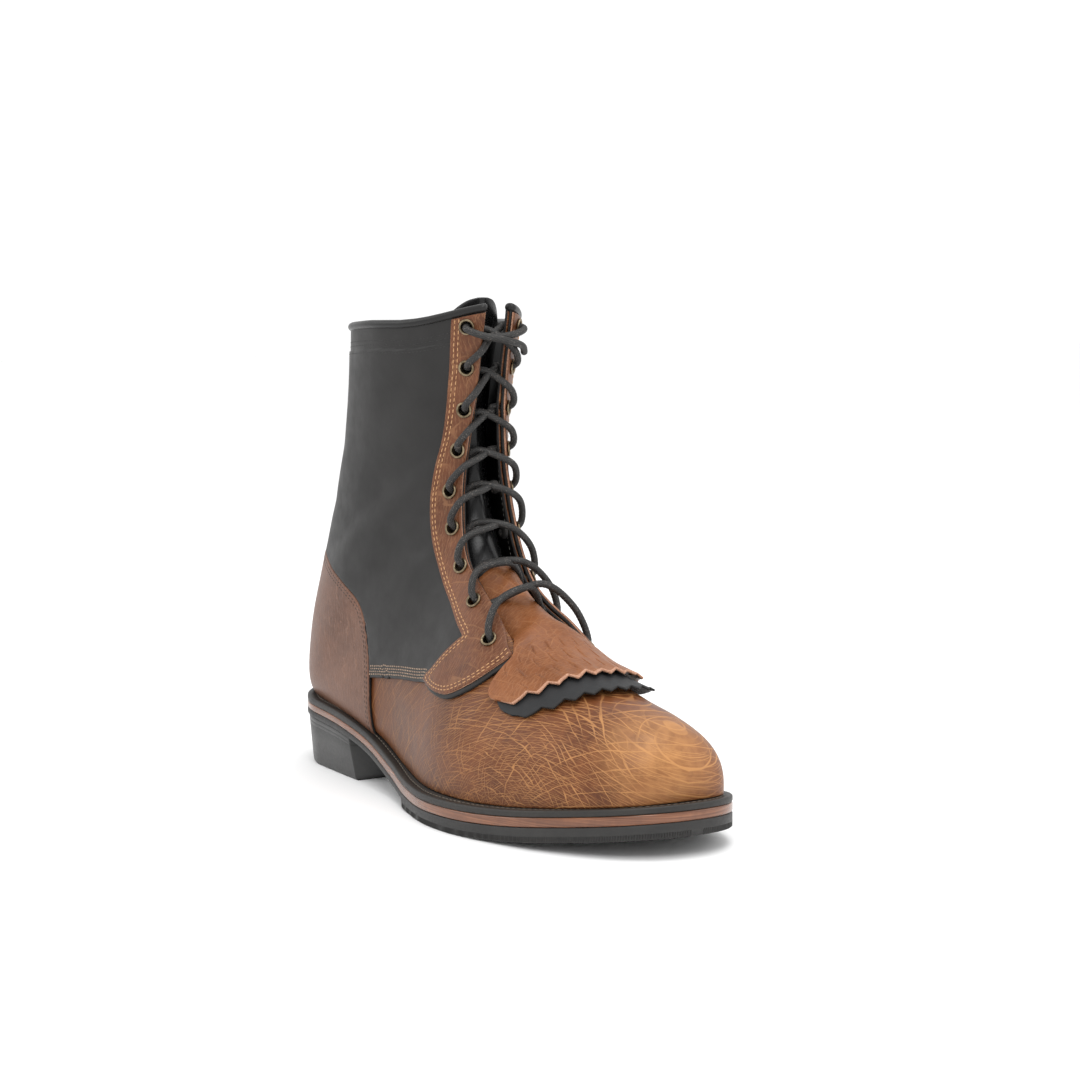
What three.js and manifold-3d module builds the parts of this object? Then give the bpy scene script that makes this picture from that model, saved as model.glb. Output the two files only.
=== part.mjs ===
// Lace-up packer boot for the right foot, in millimetres.
// The toe points to -Y, the outer side of the foot is -X and +Z is up.
// The origin is on the floor, under the middle of the boot.
import * as THREE from "three";
import { mergeVertices } from "three/addons/utils/BufferGeometryUtils.js";
import Module from "manifold-3d";

const wasm = await Module();
wasm.setup();

// Main sizes
const SOLE_LENGTH = 300;
const BALL_WIDTH = 103;
const UPPER_HEIGHT = 212; // top of the welt to the front of the collar
const VAMP_HEIGHT = 77; // top of the welt to the instep above the ball
const SHAFT_WIDTH = 62; // across the laced shaft
const HEEL_RISE = 20.8; // the heel seat above the ball
const TOE_SPRING = 9.4;

// Layers under the foot
const WELT = 3;
const WELT_STRIP = 17; // width of the strip seen from above
const MIDSOLE = 4.3;
const MIDSOLE_HEEL = 3.3;
const OUTSOLE = 6.7;
const OUTSOLE_WAIST = 3;
const TREAD_START = 148; // from the back of the sole to the step of the tread
const TREAD_STEP = 1.5;
const INSOLE = 2.6;
const HEEL_LENGTH = 79;
const HEEL_BREAST = 4; // slant of the heel's front face
const HEEL_INSET = 2.4; // taper of the block down to the floor

// Leathers, and the gap between pieces that touch
const SEAM = 0.3;
const WALL = 1.8;
const QUARTER = 1;
const EYESTAY = 1.2;
const COUNTER = 1.7;
const BINDING = 1;
const BINDING_DEPTH = 3.4;
const QUARTER_EDGE = 2; // quarter leather that shows beside the eyestay
const TONGUE = 1.7;
const TONGUE_WIDTH = 50;
const KILTIE = 1.2;
const KILTIE_UNDER = 1;
const KILTIE_LIFT = 0.7; // air under each of its leathers
const KILTIE_WIDTH = 70;

// Lacing
const EYELET_BORE = 4.4;
const EYELET_BARREL = 5.6;
const EYELET_FLANGE = 8.8;
const FLANGE = 0.7;
const LACE = 3.2;
const LACE_RISE = 13; // rise of the lowest crossing over the kiltie

// Fineness of the facets
const AROUND = 16;
const EYELET_SIDES = 8;
const HOLE_SIDES = 6;
const TONGUE_COLUMNS = 8;
const KILTIE_COLUMNS = 18;
const LACE_SIDES = 5;
const LACE_STEPS = 7;

// Sole outline: share of the sole's length, then centre shift and half width as shares of its width
const OUTLINE = [
  [0.0, 0.016, 0.303],
  [0.12, 0.011, 0.318],
  [0.22, -0.006, 0.32],
  [0.32, -0.034, 0.306],
  [0.42, -0.06, 0.322],
  [0.52, -0.068, 0.393],
  [0.6, -0.052, 0.463],
  [0.67, -0.023, 0.5],
  [0.74, 0.005, 0.495],
  [0.82, 0.037, 0.461],
  [0.9, 0.074, 0.428],
  [1.0, 0.111, 0.404],
];
const HEEL_ROUND = 0.12; // share of the length over which the heel closes
const TOE_ROUND = 0.2;
const TOE_POWER = 2.25;

// Top of the welt: share of the length, share of the heel rise, share of the toe spring,
// and how far the midsole has grown from its heel thickness to its full one
const LIFT = [
  [0.0, 1.0, 0.0, 0.0],
  [0.12, 0.905, 0.0, 0.0],
  [0.22, 0.8, 0.0, 0.05],
  [0.32, 0.55, 0.0, 0.3],
  [0.42, 0.2, 0.0, 0.8],
  [0.52, 0.0, 0.0, 1.0],
  [0.68, 0.0, 0.0, 1.0],
  [0.78, 0.0, 0.15, 1.0],
  [0.88, 0.0, 0.5, 1.0],
  [1.0, 0.0, 1.0, 1.0],
];

// Sections of the upper, each a closed curve from a top or front point to a bottom or back point.
// Lengths are shares of the sole's length and heights are above the welt.
// Vamp: top at, height / VAMP_HEIGHT, bottom at, height / VAMP_HEIGHT,
// then centre, outer and inner half width / BALL_WIDTH, widest place, front power, back power
const VAMP_SECTIONS = [
  [0.98, 0.16, 0.98, 0.1, 0.107, 0.005, 0.005, 0.6, 2.0, 2.0],
  [0.975, 0.225, 0.975, -0.03, 0.107, 0.097, 0.11, 0.62, 2.1, 4.0],
  [0.96, 0.315, 0.96, -0.08, 0.097, 0.209, 0.219, 0.66, 2.1, 6.0],
  [0.93, 0.41, 0.93, -0.08, 0.083, 0.291, 0.297, 0.7, 2.1, 7.0],
  [0.873, 0.512, 0.873, -0.08, 0.053, 0.359, 0.37, 0.74, 2.1, 8.0],
  [0.8, 0.612, 0.8, -0.08, 0.029, 0.408, 0.407, 0.76, 2.1, 8.0],
  [0.72, 0.762, 0.72, -0.08, 0.01, 0.451, 0.41, 0.78, 1.95, 8.0],
  [0.653, 1.0, 0.643, -0.07, 0.005, 0.466, 0.374, 0.8, 1.8, 8.0],
  [0.597, 1.2, 0.56, -0.06, 0.0, 0.437, 0.32, 0.8, 1.7, 8.0],
];
// Shaft: front at, height / UPPER_HEIGHT, back at, height / UPPER_HEIGHT,
// then centre, outer and inner half width / SHAFT_WIDTH, widest place, front power, back power
const SHAFT_SECTIONS = [
  [0.557, 0.502, 0.46, -0.02, 0.0, 0.613, 0.476, 0.78, 1.65, 8.0],
  [0.533, 0.563, 0.347, -0.02, 0.0, 0.532, 0.46, 0.7, 1.65, 7.0],
  [0.522, 0.615, 0.22, -0.02, 0.0, 0.516, 0.484, 0.62, 1.6, 6.0],
  [0.517, 0.653, 0.109, -0.02, 0.0, 0.508, 0.5, 0.56, 1.6, 4.4],
  [0.513, 0.686, 0.02, -0.008, 0.0, 0.528, 0.52, 0.54, 1.6, 2.6],
  [0.512, 0.719, 0.01, 0.105, 0.0, 0.518, 0.515, 0.54, 1.6, 2.1],
  [0.512, 0.757, 0.034, 0.234, 0.0, 0.473, 0.5, 0.54, 1.6, 2.1],
  [0.513, 0.799, 0.07, 0.36, 0.0, 0.464, 0.492, 0.54, 1.6, 2.1],
  [0.518, 0.846, 0.103, 0.48, 0.0, 0.464, 0.484, 0.54, 1.6, 2.1],
  [0.523, 0.893, 0.131, 0.6, 0.0, 0.472, 0.492, 0.54, 1.6, 2.1],
  [0.53, 0.941, 0.149, 0.71, 0.0, 0.488, 0.508, 0.54, 1.6, 2.1],
  [0.537, 0.988, 0.159, 0.814, 0.0, 0.504, 0.524, 0.54, 1.6, 2.1],
  [0.542, 1.044, 0.166, 0.914, 0.0, 0.52, 0.54, 0.54, 1.6, 2.1],
  [0.547, 1.106, 0.169, 0.98, 0.0, 0.525, 0.545, 0.54, 1.6, 2.1],
];

// Side view lines: share of the sole's length, height above the welt / UPPER_HEIGHT
const COLLAR = [
  [-0.1, 0.862],
  [0.157, 0.871],
  [0.533, 1.0],
  [0.7, 1.05],
];
const EYESTAY_BACK = [
  [0.49, 0.976],
  [0.467, 0.8],
  [0.447, 0.655],
  [0.441, 0.585],
  [0.447, 0.525],
  [0.467, 0.467],
  [0.503, 0.409],
  [0.543, 0.365],
  [0.597, 0.316],
];
const EYESTAY_WING = [
  [0.547, 0.242],
  [0.523, 0.22],
  [0.565, 0.207],
  [0.607, 0.2],
  [0.637, 0.207],
  [0.668, 0.235],
  [0.683, 0.273],
  [0.683, 0.3],
];
const VAMP_LINE = [
  [0.3, 0.115],
  [0.417, 0.175],
  [0.523, 0.209],
];
const COUNTER_FRONT = [
  [-0.1, 0.36],
  [0.05, 0.356],
  [0.153, 0.336],
  [0.233, 0.31],
  [0.283, 0.282],
  [0.308, 0.24],
  [0.32, 0.189],
  [0.323, 0.124],
  [0.322, 0.06],
  [0.33, -0.1],
];
// Eyelets from the collar down, in the same side view
const EYELET_LINE = [
  [0.508, 0.962],
  [0.498, 0.872],
  [0.488, 0.781],
  [0.48, 0.69],
  [0.474, 0.6],
  [0.49, 0.525],
  [0.526, 0.45],
  [0.582, 0.384],
  [0.643, 0.313],
];
// Throat seen from the front: half gap / SHAFT_WIDTH, height above the ball's welt / UPPER_HEIGHT
const THROAT = [
  [0.108, 1.1],
  [0.112, 0.98],
  [0.106, 0.8],
  [0.168, 0.63],
  [0.214, 0.53],
  [0.246, 0.465],
  [0.265, 0.39],
  [0.277, 0.35],
];
const THROAT_END = 0.315; // height of its lower end in the vamp
const FACING_END = [
  [0.29, 0.33],
  [0.325, 0.3],
  [0.325, 0.27],
];
const THROAT_DEPTH = 0.4; // share of the length behind which nothing is cut

const STACK = WELT + MIDSOLE + OUTSOLE;
const HALF = SOLE_LENGTH / 2;
const FAR = SOLE_LENGTH; // reach of the cutting slabs

const clamp = (v, low, high) => Math.min(high, Math.max(low, v));
const smooth = (v) => v * v * (3 - 2 * v);

// Row of a table at share x of its first column, on a smooth curve
function lookup(table, x) {
  const last = table.length - 1;
  const at = clamp(x, table[0][0], table[last][0]);
  let i = 0;
  while (i < last - 1 && at > table[i + 1][0]) i += 1;
  const slope = (j, k) => {
    const before = Math.max(j - 1, 0);
    const after = Math.min(j + 1, last);
    return (table[after][k] - table[before][k]) / (table[after][0] - table[before][0]);
  };
  const span = table[i + 1][0] - table[i][0];
  const u = (at - table[i][0]) / span;
  return table[i].map((value, k) => {
    const rise = table[i + 1][k] - value;
    const start = slope(i, k) * span;
    const end = slope(i + 1, k) * span;
    return value + u * start + u * u * (3 * rise - 2 * start - end) + u * u * u * (start + end - 2 * rise);
  });
}

// Row between rows on a Catmull-Rom curve, t counted in rows
function between(rows, t) {
  const last = rows.length - 1;
  const i = Math.min(Math.floor(clamp(t, 0, last)), last - 1);
  const u = clamp(t, 0, last) - i;
  return rows[i].map((b, k) => {
    const c = rows[i + 1][k];
    const a = i > 0 ? rows[i - 1][k] : 2 * b - c;
    const d = i < last - 1 ? rows[i + 2][k] : 2 * c - b;
    const square = 2 * a - 5 * b + 4 * c - d;
    const cube = 3 * b - a - 3 * c + d;
    return 0.5 * (2 * b + (c - a) * u + square * u * u + cube * u * u * u);
  });
}

// Sole: lengths are measured forward from its back edge
const yAt = (length) => HALF - length;

function weltTop(length) {
  const [, heel, toe] = lookup(LIFT, length / SOLE_LENGTH);
  return STACK + HEEL_RISE * heel + TOE_SPRING * toe;
}

function midsoleThickness(length) {
  return MIDSOLE_HEEL + (MIDSOLE - MIDSOLE_HEEL) * lookup(LIFT, length / SOLE_LENGTH)[3];
}

function outlineAt(share, inset) {
  const [, shift, half] = lookup(OUTLINE, share);
  const heel = clamp(1 - share / HEEL_ROUND, 0, 1);
  const toe = clamp(1 - (1 - share) / TOE_ROUND, 0, 1);
  const close = Math.sqrt(1 - heel * heel) * (1 - toe ** TOE_POWER) ** (1 / TOE_POWER);
  const length = inset + share * (SOLE_LENGTH - 2 * inset);
  const reach = (half * BALL_WIDTH - inset) * close;
  return { length, left: shift * BALL_WIDTH - reach, right: shift * BALL_WIDTH + reach };
}

// Closed body through rings of equally many points, an even number, with a face across each end
function loft(rings) {
  const size = rings[0].length;
  const points = rings.flat();
  const index = [];
  for (let i = 0; i + 1 < rings.length; i += 1) {
    for (let k = 0; k < size; k += 1) {
      const a = i * size + k;
      const b = i * size + ((k + 1) % size);
      index.push(a, b, a + size, b, b + size, a + size);
    }
  }
  const top = (rings.length - 1) * size;
  for (let k = 0; k + 1 < size / 2; k += 1) {
    const [a, b, c, d] = [k, k + 1, size - 2 - k, size - 1 - k];
    index.push(a, c, b, a, d, c);
    index.push(top + a, top + b, top + c, top + a, top + c, top + d);
  }
  let volume = 0;
  for (let i = 0; i < index.length; i += 3) {
    const [a, b, c] = [points[index[i]], points[index[i + 1]], points[index[i + 2]]];
    volume += a.dot(b.clone().cross(c));
  }
  if (volume < 0) index.reverse();
  const geometry = new THREE.BufferGeometry();
  geometry.setAttribute("position", new THREE.Float32BufferAttribute(points.flatMap((p) => p.toArray()), 3));
  geometry.setIndex(index);
  return geometry;
}

// Geometry to solid and back
function solid(geometry) {
  const bare = geometry.clone();
  bare.deleteAttribute("normal");
  bare.deleteAttribute("uv");
  const merged = mergeVertices(bare, 1e-4);
  const vertProperties = new Float32Array(merged.attributes.position.array);
  const triVerts = new Uint32Array(merged.index.array);
  return new wasm.Manifold(new wasm.Mesh({ numProp: 3, vertProperties, triVerts }));
}

function surface(body) {
  const mesh = body.getMesh();
  const geometry = new THREE.BufferGeometry();
  geometry.setAttribute("position", new THREE.BufferAttribute(new Float32Array(mesh.vertProperties), 3));
  geometry.setIndex([...mesh.triVerts]);
  return geometry;
}

// Plate of the sole between two heights, on the outline drawn in by an inset
const SOLE_SHARES = [
  0.002, 0.012, 0.035, 0.07, 0.12, 0.19, 0.26, 0.33, 0.4, 0.47, 0.54,
  0.6, 0.66, 0.72, 0.78, 0.84, 0.89, 0.93, 0.96, 0.98, 0.993, 0.9988,
];

function plate({ inset = 0, top, bottom, extra = [] }) {
  const shares = [...SOLE_SHARES, ...extra].sort((a, b) => a - b);
  return loft(shares.map((share) => {
    const { length, left, right } = outlineAt(share, inset);
    const y = yAt(length);
    const high = top(length);
    const low = bottom(length);
    return [
      new THREE.Vector3(left, y, high),
      new THREE.Vector3(right, y, high),
      new THREE.Vector3(right, y, low),
      new THREE.Vector3(left, y, low),
    ];
  }));
}

const midsoleTop = (length) => weltTop(length) - WELT - SEAM;
const midsoleBottom = (length) => weltTop(length) - WELT - midsoleThickness(length);
const outsoleTop = (length) => midsoleBottom(length) - SEAM;

function outsoleBottom(length) {
  const tread = clamp((length - TREAD_START) / TREAD_STEP, 0, 1);
  const thickness = OUTSOLE_WAIST + (OUTSOLE - OUTSOLE_WAIST) * tread;
  return Math.max(0, midsoleBottom(length) - thickness);
}

function makeWelt() {
  const slab = (inset, spare) =>
    solid(plate({ inset, top: (l) => weltTop(l) + spare, bottom: (l) => weltTop(l) - WELT - spare }));
  return surface(slab(0, 0).subtract(slab(WELT_STRIP, 1)));
}

function makeHeel() {
  const steps = [0.002, 0.03, 0.1, 0.2, 0.35, 0.55, 0.75, 1];
  return loft(steps.map((step) => {
    const high = outlineAt((step * (HEEL_LENGTH - HEEL_BREAST)) / SOLE_LENGTH, 0.6);
    const low = outlineAt((step * HEEL_LENGTH) / SOLE_LENGTH, HEEL_INSET);
    const topHeight = outsoleBottom(high.length) - SEAM;
    return [
      new THREE.Vector3(high.left, yAt(high.length), topHeight),
      new THREE.Vector3(high.right, yAt(high.length), topHeight),
      new THREE.Vector3(low.right, yAt(low.length), 0),
      new THREE.Vector3(low.left, yAt(low.length), 0),
    ];
  }));
}

// The upper's form
const LAST_ROW = VAMP_SECTIONS.length + SHAFT_SECTIONS.length - 1;
const inMillimetres = (height, width) => ([frontAt, frontUp, backAt, backUp, centre, outer, inner, ...rest]) => [
  frontAt * SOLE_LENGTH,
  weltTop(frontAt * SOLE_LENGTH) + frontUp * height,
  backAt * SOLE_LENGTH,
  weltTop(backAt * SOLE_LENGTH) + backUp * height,
  centre * width,
  outer * width,
  inner * width,
  ...rest,
];
const SECTIONS = [
  ...VAMP_SECTIONS.map(inMillimetres(VAMP_HEIGHT, BALL_WIDTH)),
  ...SHAFT_SECTIONS.map(inMillimetres(UPPER_HEIGHT, SHAFT_WIDTH)),
];

// Point of the form: t in rows from the toe to above the collar, angle from the front, outer side positive
function formPoint(t, angle) {
  const [frontAt, frontUp, backAt, backUp, centre, outer, inner, widest, front, back] = between(SECTIONS, t);
  const cosine = Math.cos(angle);
  const sine = Math.sin(angle);
  const power = 2 / (cosine > 0 ? front : back);
  const side = Math.abs(sine) ** power;
  const along = Math.abs(cosine) ** power;
  const share = cosine > 0 ? widest * (1 - along) : widest + (1 - widest) * along;
  const x = centre + (sine > 0 ? -outer : inner) * side;
  const at = frontAt + (backAt - frontAt) * share;
  return new THREE.Vector3(x, yAt(at), frontUp + (backUp - frontUp) * share);
}

function formNormal(t, angle) {
  const dt = 0.08;
  const da = 0.06;
  const low = clamp(t - dt, 0, LAST_ROW);
  const high = clamp(t + dt, 0, LAST_ROW);
  const along = formPoint(high, angle).sub(formPoint(low, angle));
  const across = formPoint(t, angle + da).sub(formPoint(t, angle - da));
  return along.cross(across).normalize();
}

// The same point, moved out of the form by an offset
function offsetPoint(t, angle, offset) {
  const point = formPoint(t, angle);
  if (t < 0.01) return point.add(new THREE.Vector3(0, -offset, 0));
  return point.addScaledVector(formNormal(t, angle), offset);
}

const ROW_STEPS = [0, 0.5, 1, 1.5, 2, 3, 4, 5, 6, 7, 8, 9, 10, 11, 12, 13, 14, 16, 18, 20, 22];

function formSolid(offset) {
  return solid(loft(ROW_STEPS.map((t) => {
    const ring = [];
    for (let k = 0; k < AROUND; k += 1) ring.push(offsetPoint(t, (2 * Math.PI * k) / AROUND, offset));
    return ring;
  })));
}

// Band between two heights above the welt, through the whole width
function bandOverWelt(low, high) {
  return solid(loft([-0.2, ...SOLE_SHARES, 1.2].map((share) => {
    const y = yAt(share * SOLE_LENGTH);
    const z = weltTop(share * SOLE_LENGTH);
    return [
      new THREE.Vector3(-FAR, y, z + high),
      new THREE.Vector3(FAR, y, z + high),
      new THREE.Vector3(FAR, y, z + low),
      new THREE.Vector3(-FAR, y, z + low),
    ];
  })));
}

// Side view point from shares of the length and of the upper's height
const sidePoint = ([at, up]) =>
  new THREE.Vector2(yAt(at * SOLE_LENGTH), weltTop(at * SOLE_LENGTH) + up * UPPER_HEIGHT);

// Slab through the whole width from a closed side view outline
function sideSlab(points) {
  const outline = new THREE.Shape(points);
  const geometry = new THREE.ExtrudeGeometry(outline, { depth: 2 * FAR, bevelEnabled: false });
  geometry.translate(0, 0, -FAR);
  geometry.applyMatrix4(new THREE.Matrix4().set(0, 0, 1, 0, 1, 0, 0, 0, 0, 1, 0, 0, 0, 0, 0, 1));
  return solid(geometry);
}

// Slab from a closed front view outline, from the toe back to a depth
function frontSlab(points) {
  const geometry = new THREE.ExtrudeGeometry(new THREE.Shape(points), { depth: FAR, bevelEnabled: false });
  geometry.applyMatrix4(new THREE.Matrix4().set(1, 0, 0, 0, 0, 0, -1, 0, 0, 1, 0, 0, 0, 0, 0, 1));
  geometry.translate(0, yAt(THROAT_DEPTH * SOLE_LENGTH), 0);
  return solid(geometry);
}

// Everything under the collar line, lowered by a drop
function belowCollar(drop) {
  const line = COLLAR.map(sidePoint).map((p) => p.setY(p.y - drop));
  const front = new THREE.Vector2(-FAR, line.at(-1).y);
  return sideSlab([...line, front, new THREE.Vector2(-FAR, -FAR), new THREE.Vector2(FAR, -FAR)]);
}

const throatPoint = ([half, up]) => new THREE.Vector2(half * SHAFT_WIDTH, STACK + up * UPPER_HEIGHT);
const mirrored = (p) => new THREE.Vector2(-p.x, p.y);

function throatCut(end) {
  const outer = [...THROAT, ...end].map(throatPoint);
  return frontSlab([...outer, ...outer.map(mirrored).reverse()]);
}

function halfGap(height) {
  const rows = THROAT.map(throatPoint).reverse();
  let i = 0;
  while (i < rows.length - 2 && height > rows[i + 1].y) i += 1;
  const u = (height - rows[i].y) / (rows[i + 1].y - rows[i].y);
  return rows[i].x + u * (rows[i + 1].x - rows[i].x);
}

// Place on the front half of the form that a side view point covers, found by halving a search box
function locate(target) {
  let best = [14, 0.7];
  for (let size = 1; size > 0.002; size *= 0.7) {
    let least = Infinity;
    let next = best;
    for (let i = -4; i <= 4; i += 1) {
      for (let k = -4; k <= 4; k += 1) {
        const t = clamp(best[0] + i * size * 2, 4, LAST_ROW);
        const angle = clamp(best[1] + k * size * 0.2, 0.02, 1.5);
        const point = formPoint(t, angle);
        const miss = Math.hypot(point.y - target.x, point.z - target.y);
        if (miss < least) {
          least = miss;
          next = [t, angle];
        }
      }
    }
    best = next;
  }
  return best;
}

// Angle at which the form's surface is a given distance out from its top line
function angleForWidth(t, distance) {
  const side = Math.sign(distance) || 1;
  const centre = formPoint(t, 0).x;
  let low = 0;
  let high = Math.PI / 2;
  for (let i = 0; i < 30; i += 1) {
    const angle = (low + high) / 2;
    if (Math.abs(formPoint(t, side * angle).x - centre) < Math.abs(distance)) low = angle;
    else high = angle;
  }
  return side * low;
}

// Eyelets as row of the form and distance from the middle, the same on both sides
const EYELET_PLACES = EYELET_LINE.map((row) => {
  const [t, angle] = locate(sidePoint(row));
  return [t, Math.abs(formPoint(t, angle).x - formPoint(t, 0).x)];
});

const eyeletAngle = ([t, distance], side) => angleForWidth(t, side * distance);

// Angle of a place beside the facing's free edge at row t, so far outside the edge
function besideEdge(t, side, outside) {
  let low = 0;
  let high = 1.4;
  for (let i = 0; i < 30; i += 1) {
    const angle = (low + high) / 2;
    const point = formPoint(t, side * angle);
    if (Math.abs(point.x) < halfGap(point.z) + outside) low = angle;
    else high = angle;
  }
  return side * low;
}

function eyeletHole(t, angle) {
  const length = 12;
  const radius = (EYELET_BARREL / 2 + SEAM) / Math.cos(Math.PI / HOLE_SIDES);
  const hole = new THREE.CylinderGeometry(radius, radius, length, HOLE_SIDES);
  return solid(placeOnForm(hole, t, angle));
}

// Geometry whose +Y axis is turned along the form's normal and moved onto it
function placeOnForm(geometry, t, angle) {
  const turn = new THREE.Quaternion().setFromUnitVectors(new THREE.Vector3(0, 1, 0), formNormal(t, angle));
  geometry.applyQuaternion(turn);
  const at = formPoint(t, angle);
  geometry.translate(at.x, at.y, at.z);
  return geometry;
}

const quarterIn = SEAM;
const quarterOut = quarterIn + QUARTER;
const eyestayIn = quarterOut + SEAM;
const eyestayOut = eyestayIn + EYESTAY;
const eyeletSeat = eyestayOut + 2 * SEAM;

function makeEyelet(place, side) {
  const bore = EYELET_BORE / 2;
  const barrel = EYELET_BARREL / 2;
  const rim = EYELET_FLANGE / 2;
  const low = -WALL - SEAM;
  const profile = [
    [bore, low],
    [barrel, low],
    [barrel, eyeletSeat],
    [rim, eyeletSeat],
    [bore, eyeletSeat + FLANGE],
    [bore, low],
  ].map(([x, y]) => new THREE.Vector2(x, y));
  return placeOnForm(new THREE.LatheGeometry(profile, EYELET_SIDES), place[0], eyeletAngle(place, side));
}

function makeHoles() {
  let all = null;
  for (const place of EYELET_PLACES) {
    for (const side of [1, -1]) {
      const hole = eyeletHole(place[0], eyeletAngle(place, side));
      all = all ? all.add(hole) : hole;
    }
  }
  return all;
}

const holes = makeHoles();
const above = bandOverWelt(SEAM, 2 * FAR);
const edgeDrop = BINDING + SEAM;
const vampThroat = throatCut([[0.277, THROAT_END]]);
const facingThroat = throatCut(FACING_END);
const layer = (inside, outside) => formSolid(outside).subtract(formSolid(inside));

function makeUpper() {
  const body = layer(-WALL, 0).intersect(above).intersect(belowCollar(edgeDrop));
  return surface(body.subtract(vampThroat).subtract(holes));
}

function counterSlab(grow) {
  const line = COUNTER_FRONT.map(sidePoint).map((p, i, all) => {
    const next = all[Math.min(i + 1, all.length - 1)];
    const before = all[Math.max(i - 1, 0)];
    const along = next.clone().sub(before).normalize();
    return new THREE.Vector2(p.x + along.y * grow, p.y - along.x * grow);
  });
  return sideSlab([...line, new THREE.Vector2(FAR, line.at(-1).y)]);
}

function makeCounter() {
  return surface(layer(quarterIn, quarterIn + COUNTER).intersect(above).intersect(counterSlab(0)));
}

// Outline of the eyestay in side view, drawn out by a margin on its lower side
function wing(margin) {
  return EYESTAY_WING.map(sidePoint).map((p) => new THREE.Vector2(p.x - margin * 0.6, p.y - margin * 0.8));
}

function makeQuarters() {
  const edge = wing(QUARTER_EDGE);
  const line = VAMP_LINE.map(sidePoint);
  const low = [new THREE.Vector2(FAR, line[0].y), ...line, ...edge.slice(2)];
  const last = edge.at(-1);
  const outline = sideSlab([...low, new THREE.Vector2(last.x, FAR), new THREE.Vector2(FAR, FAR)]);
  return surface(
    layer(quarterIn, quarterOut)
      .intersect(above)
      .intersect(belowCollar(edgeDrop))
      .intersect(outline)
      .subtract(facingThroat)
      .subtract(counterSlab(SEAM))
      .subtract(holes),
  );
}

function makeEyestay(side) {
  const back = EYESTAY_BACK.map(sidePoint);
  const low = EYESTAY_WING.map(sidePoint);
  const last = low.at(-1);
  const outline = sideSlab([
    new THREE.Vector2(last.x, FAR),
    new THREE.Vector2(back[0].x, FAR),
    ...back,
    ...low,
  ]);
  const half = new THREE.BoxGeometry(FAR, 2 * FAR, 4 * FAR);
  half.translate((-side * FAR) / 2, 0, 0);
  return surface(
    layer(eyestayIn, eyestayOut)
      .intersect(outline)
      .intersect(belowCollar(edgeDrop + BINDING_DEPTH))
      .intersect(solid(half))
      .subtract(facingThroat)
      .subtract(holes),
  );
}

function makeBinding() {
  const outside = layer(-WALL - SEAM - BINDING, eyestayIn + BINDING).intersect(belowCollar(0));
  const inside = layer(-WALL - SEAM, eyestayIn).intersect(belowCollar(BINDING));
  const low = belowCollar(BINDING + BINDING_DEPTH);
  return surface(outside.subtract(low).subtract(inside).subtract(facingThroat));
}

function makeInsole() {
  return surface(formSolid(-WALL - SEAM).intersect(bandOverWelt(SEAM, SEAM + INSOLE)));
}

// Strip of leather over or under the form's front. A row holds: row of the form at the middle, and
// at the sides, half width, then height of the outer face over the form at the middle, and at the sides.
// Heights over the form are along its own normals, and depths under it along the middle's normal.
function strip(rows, columns, thickness) {
  const point = ([middle, sides, half, crest, side], share, inward) => {
    const t = middle + (sides - middle) * (1 - Math.sqrt(1 - share * share));
    const height = side + (crest - side) * (1 - share * share) - inward;
    const over = offsetPoint(t, angleForWidth(t, half * share), Math.max(height, 0));
    return over.addScaledVector(formNormal(t, 0), Math.min(height, 0));
  };
  return loft(rows.map((row) => {
    const ring = [];
    for (let k = 0; k <= columns; k += 1) ring.push(point(row, -1 + (2 * k) / columns, 0));
    for (let k = columns; k >= 0; k -= 1) ring.push(point(row, -1 + (2 * k) / columns, thickness));
    return ring;
  }));
}

const TONGUE_ROWS = [
  [5.7, 5.7, 0.28, -3.2, -3.2],
  [6.2, 6.2, 0.31, -3.8, -3.8],
  [6.6, 6.6, 0.34, -6.5, -6.5],
  [7.1, 7.1, 0.36, -11, -11],
  [7.7, 7.7, 0.38, -13.4, -13.4],
  [8.5, 8.5, 0.42, -14.2, -14.2],
  [10, 10, 0.48, -14.2, -14.2],
  [12, 12, 0.5, -14.2, -14.2],
  [15, 15, 0.5, -14.2, -14.2],
  [18, 18, 0.5, -14.2, -14.2],
  [19.3, 19.3, 0.46, -14.2, -14.2],
  [20.1, 20.1, 0.34, -14.2, -14.2],
  [20.55, 20.55, 0.2, -14.2, -14.2],
];

function makeTongue() {
  const wide = TONGUE_ROWS.map(
    ([middle, sides, half, ...heights]) => [middle, sides, half * TONGUE_WIDTH, ...heights],
  );
  return strip(wide, TONGUE_COLUMNS, TONGUE);
}

// Kiltie: two pinked leathers in a fan over the vamp, the upper one with a neck between the facings
const KILTIE_ROWS = [
  [5.35, 5.97, 0.47, 4, 0],
  [5.7, 6.12, 0.49, 3.2, 0],
  [6.05, 6.28, 0.5, 2, 0],
  [6.39, 6.4, 0.48, 0.5, 0],
  [6.47, 6.47, 0.23, 0, 0],
  [6.68, 6.68, 0.2, -0.6, -1.4],
  [6.95, 6.95, 0.15, -3.6, -6],
  [7.4, 7.4, 0.11, -7.6, -9],
  [8.0, 8.0, 0.1, -10, -10.6],
];
const KILTIE_UNDER_ROWS = [
  [4.85, 5.72, 0.48, 2.5, 0],
  [5.35, 5.92, 0.5, 2.6, 0],
  [5.9, 6.15, 0.48, 2, 0],
  [6.35, 6.38, 0.42, 0.5, 0],
];
const kiltieUnder = KILTIE_LIFT + KILTIE_UNDER;
const kiltieTop = kiltieUnder + KILTIE_LIFT + KILTIE;

function makeKiltie(rows, top, thickness) {
  const wide = rows.map(([middle, sides, half, crest, side]) => {
    return [middle, sides, half * KILTIE_WIDTH, top + crest, top + side];
  });
  return strip(wide, KILTIE_COLUMNS, thickness);
}

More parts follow.
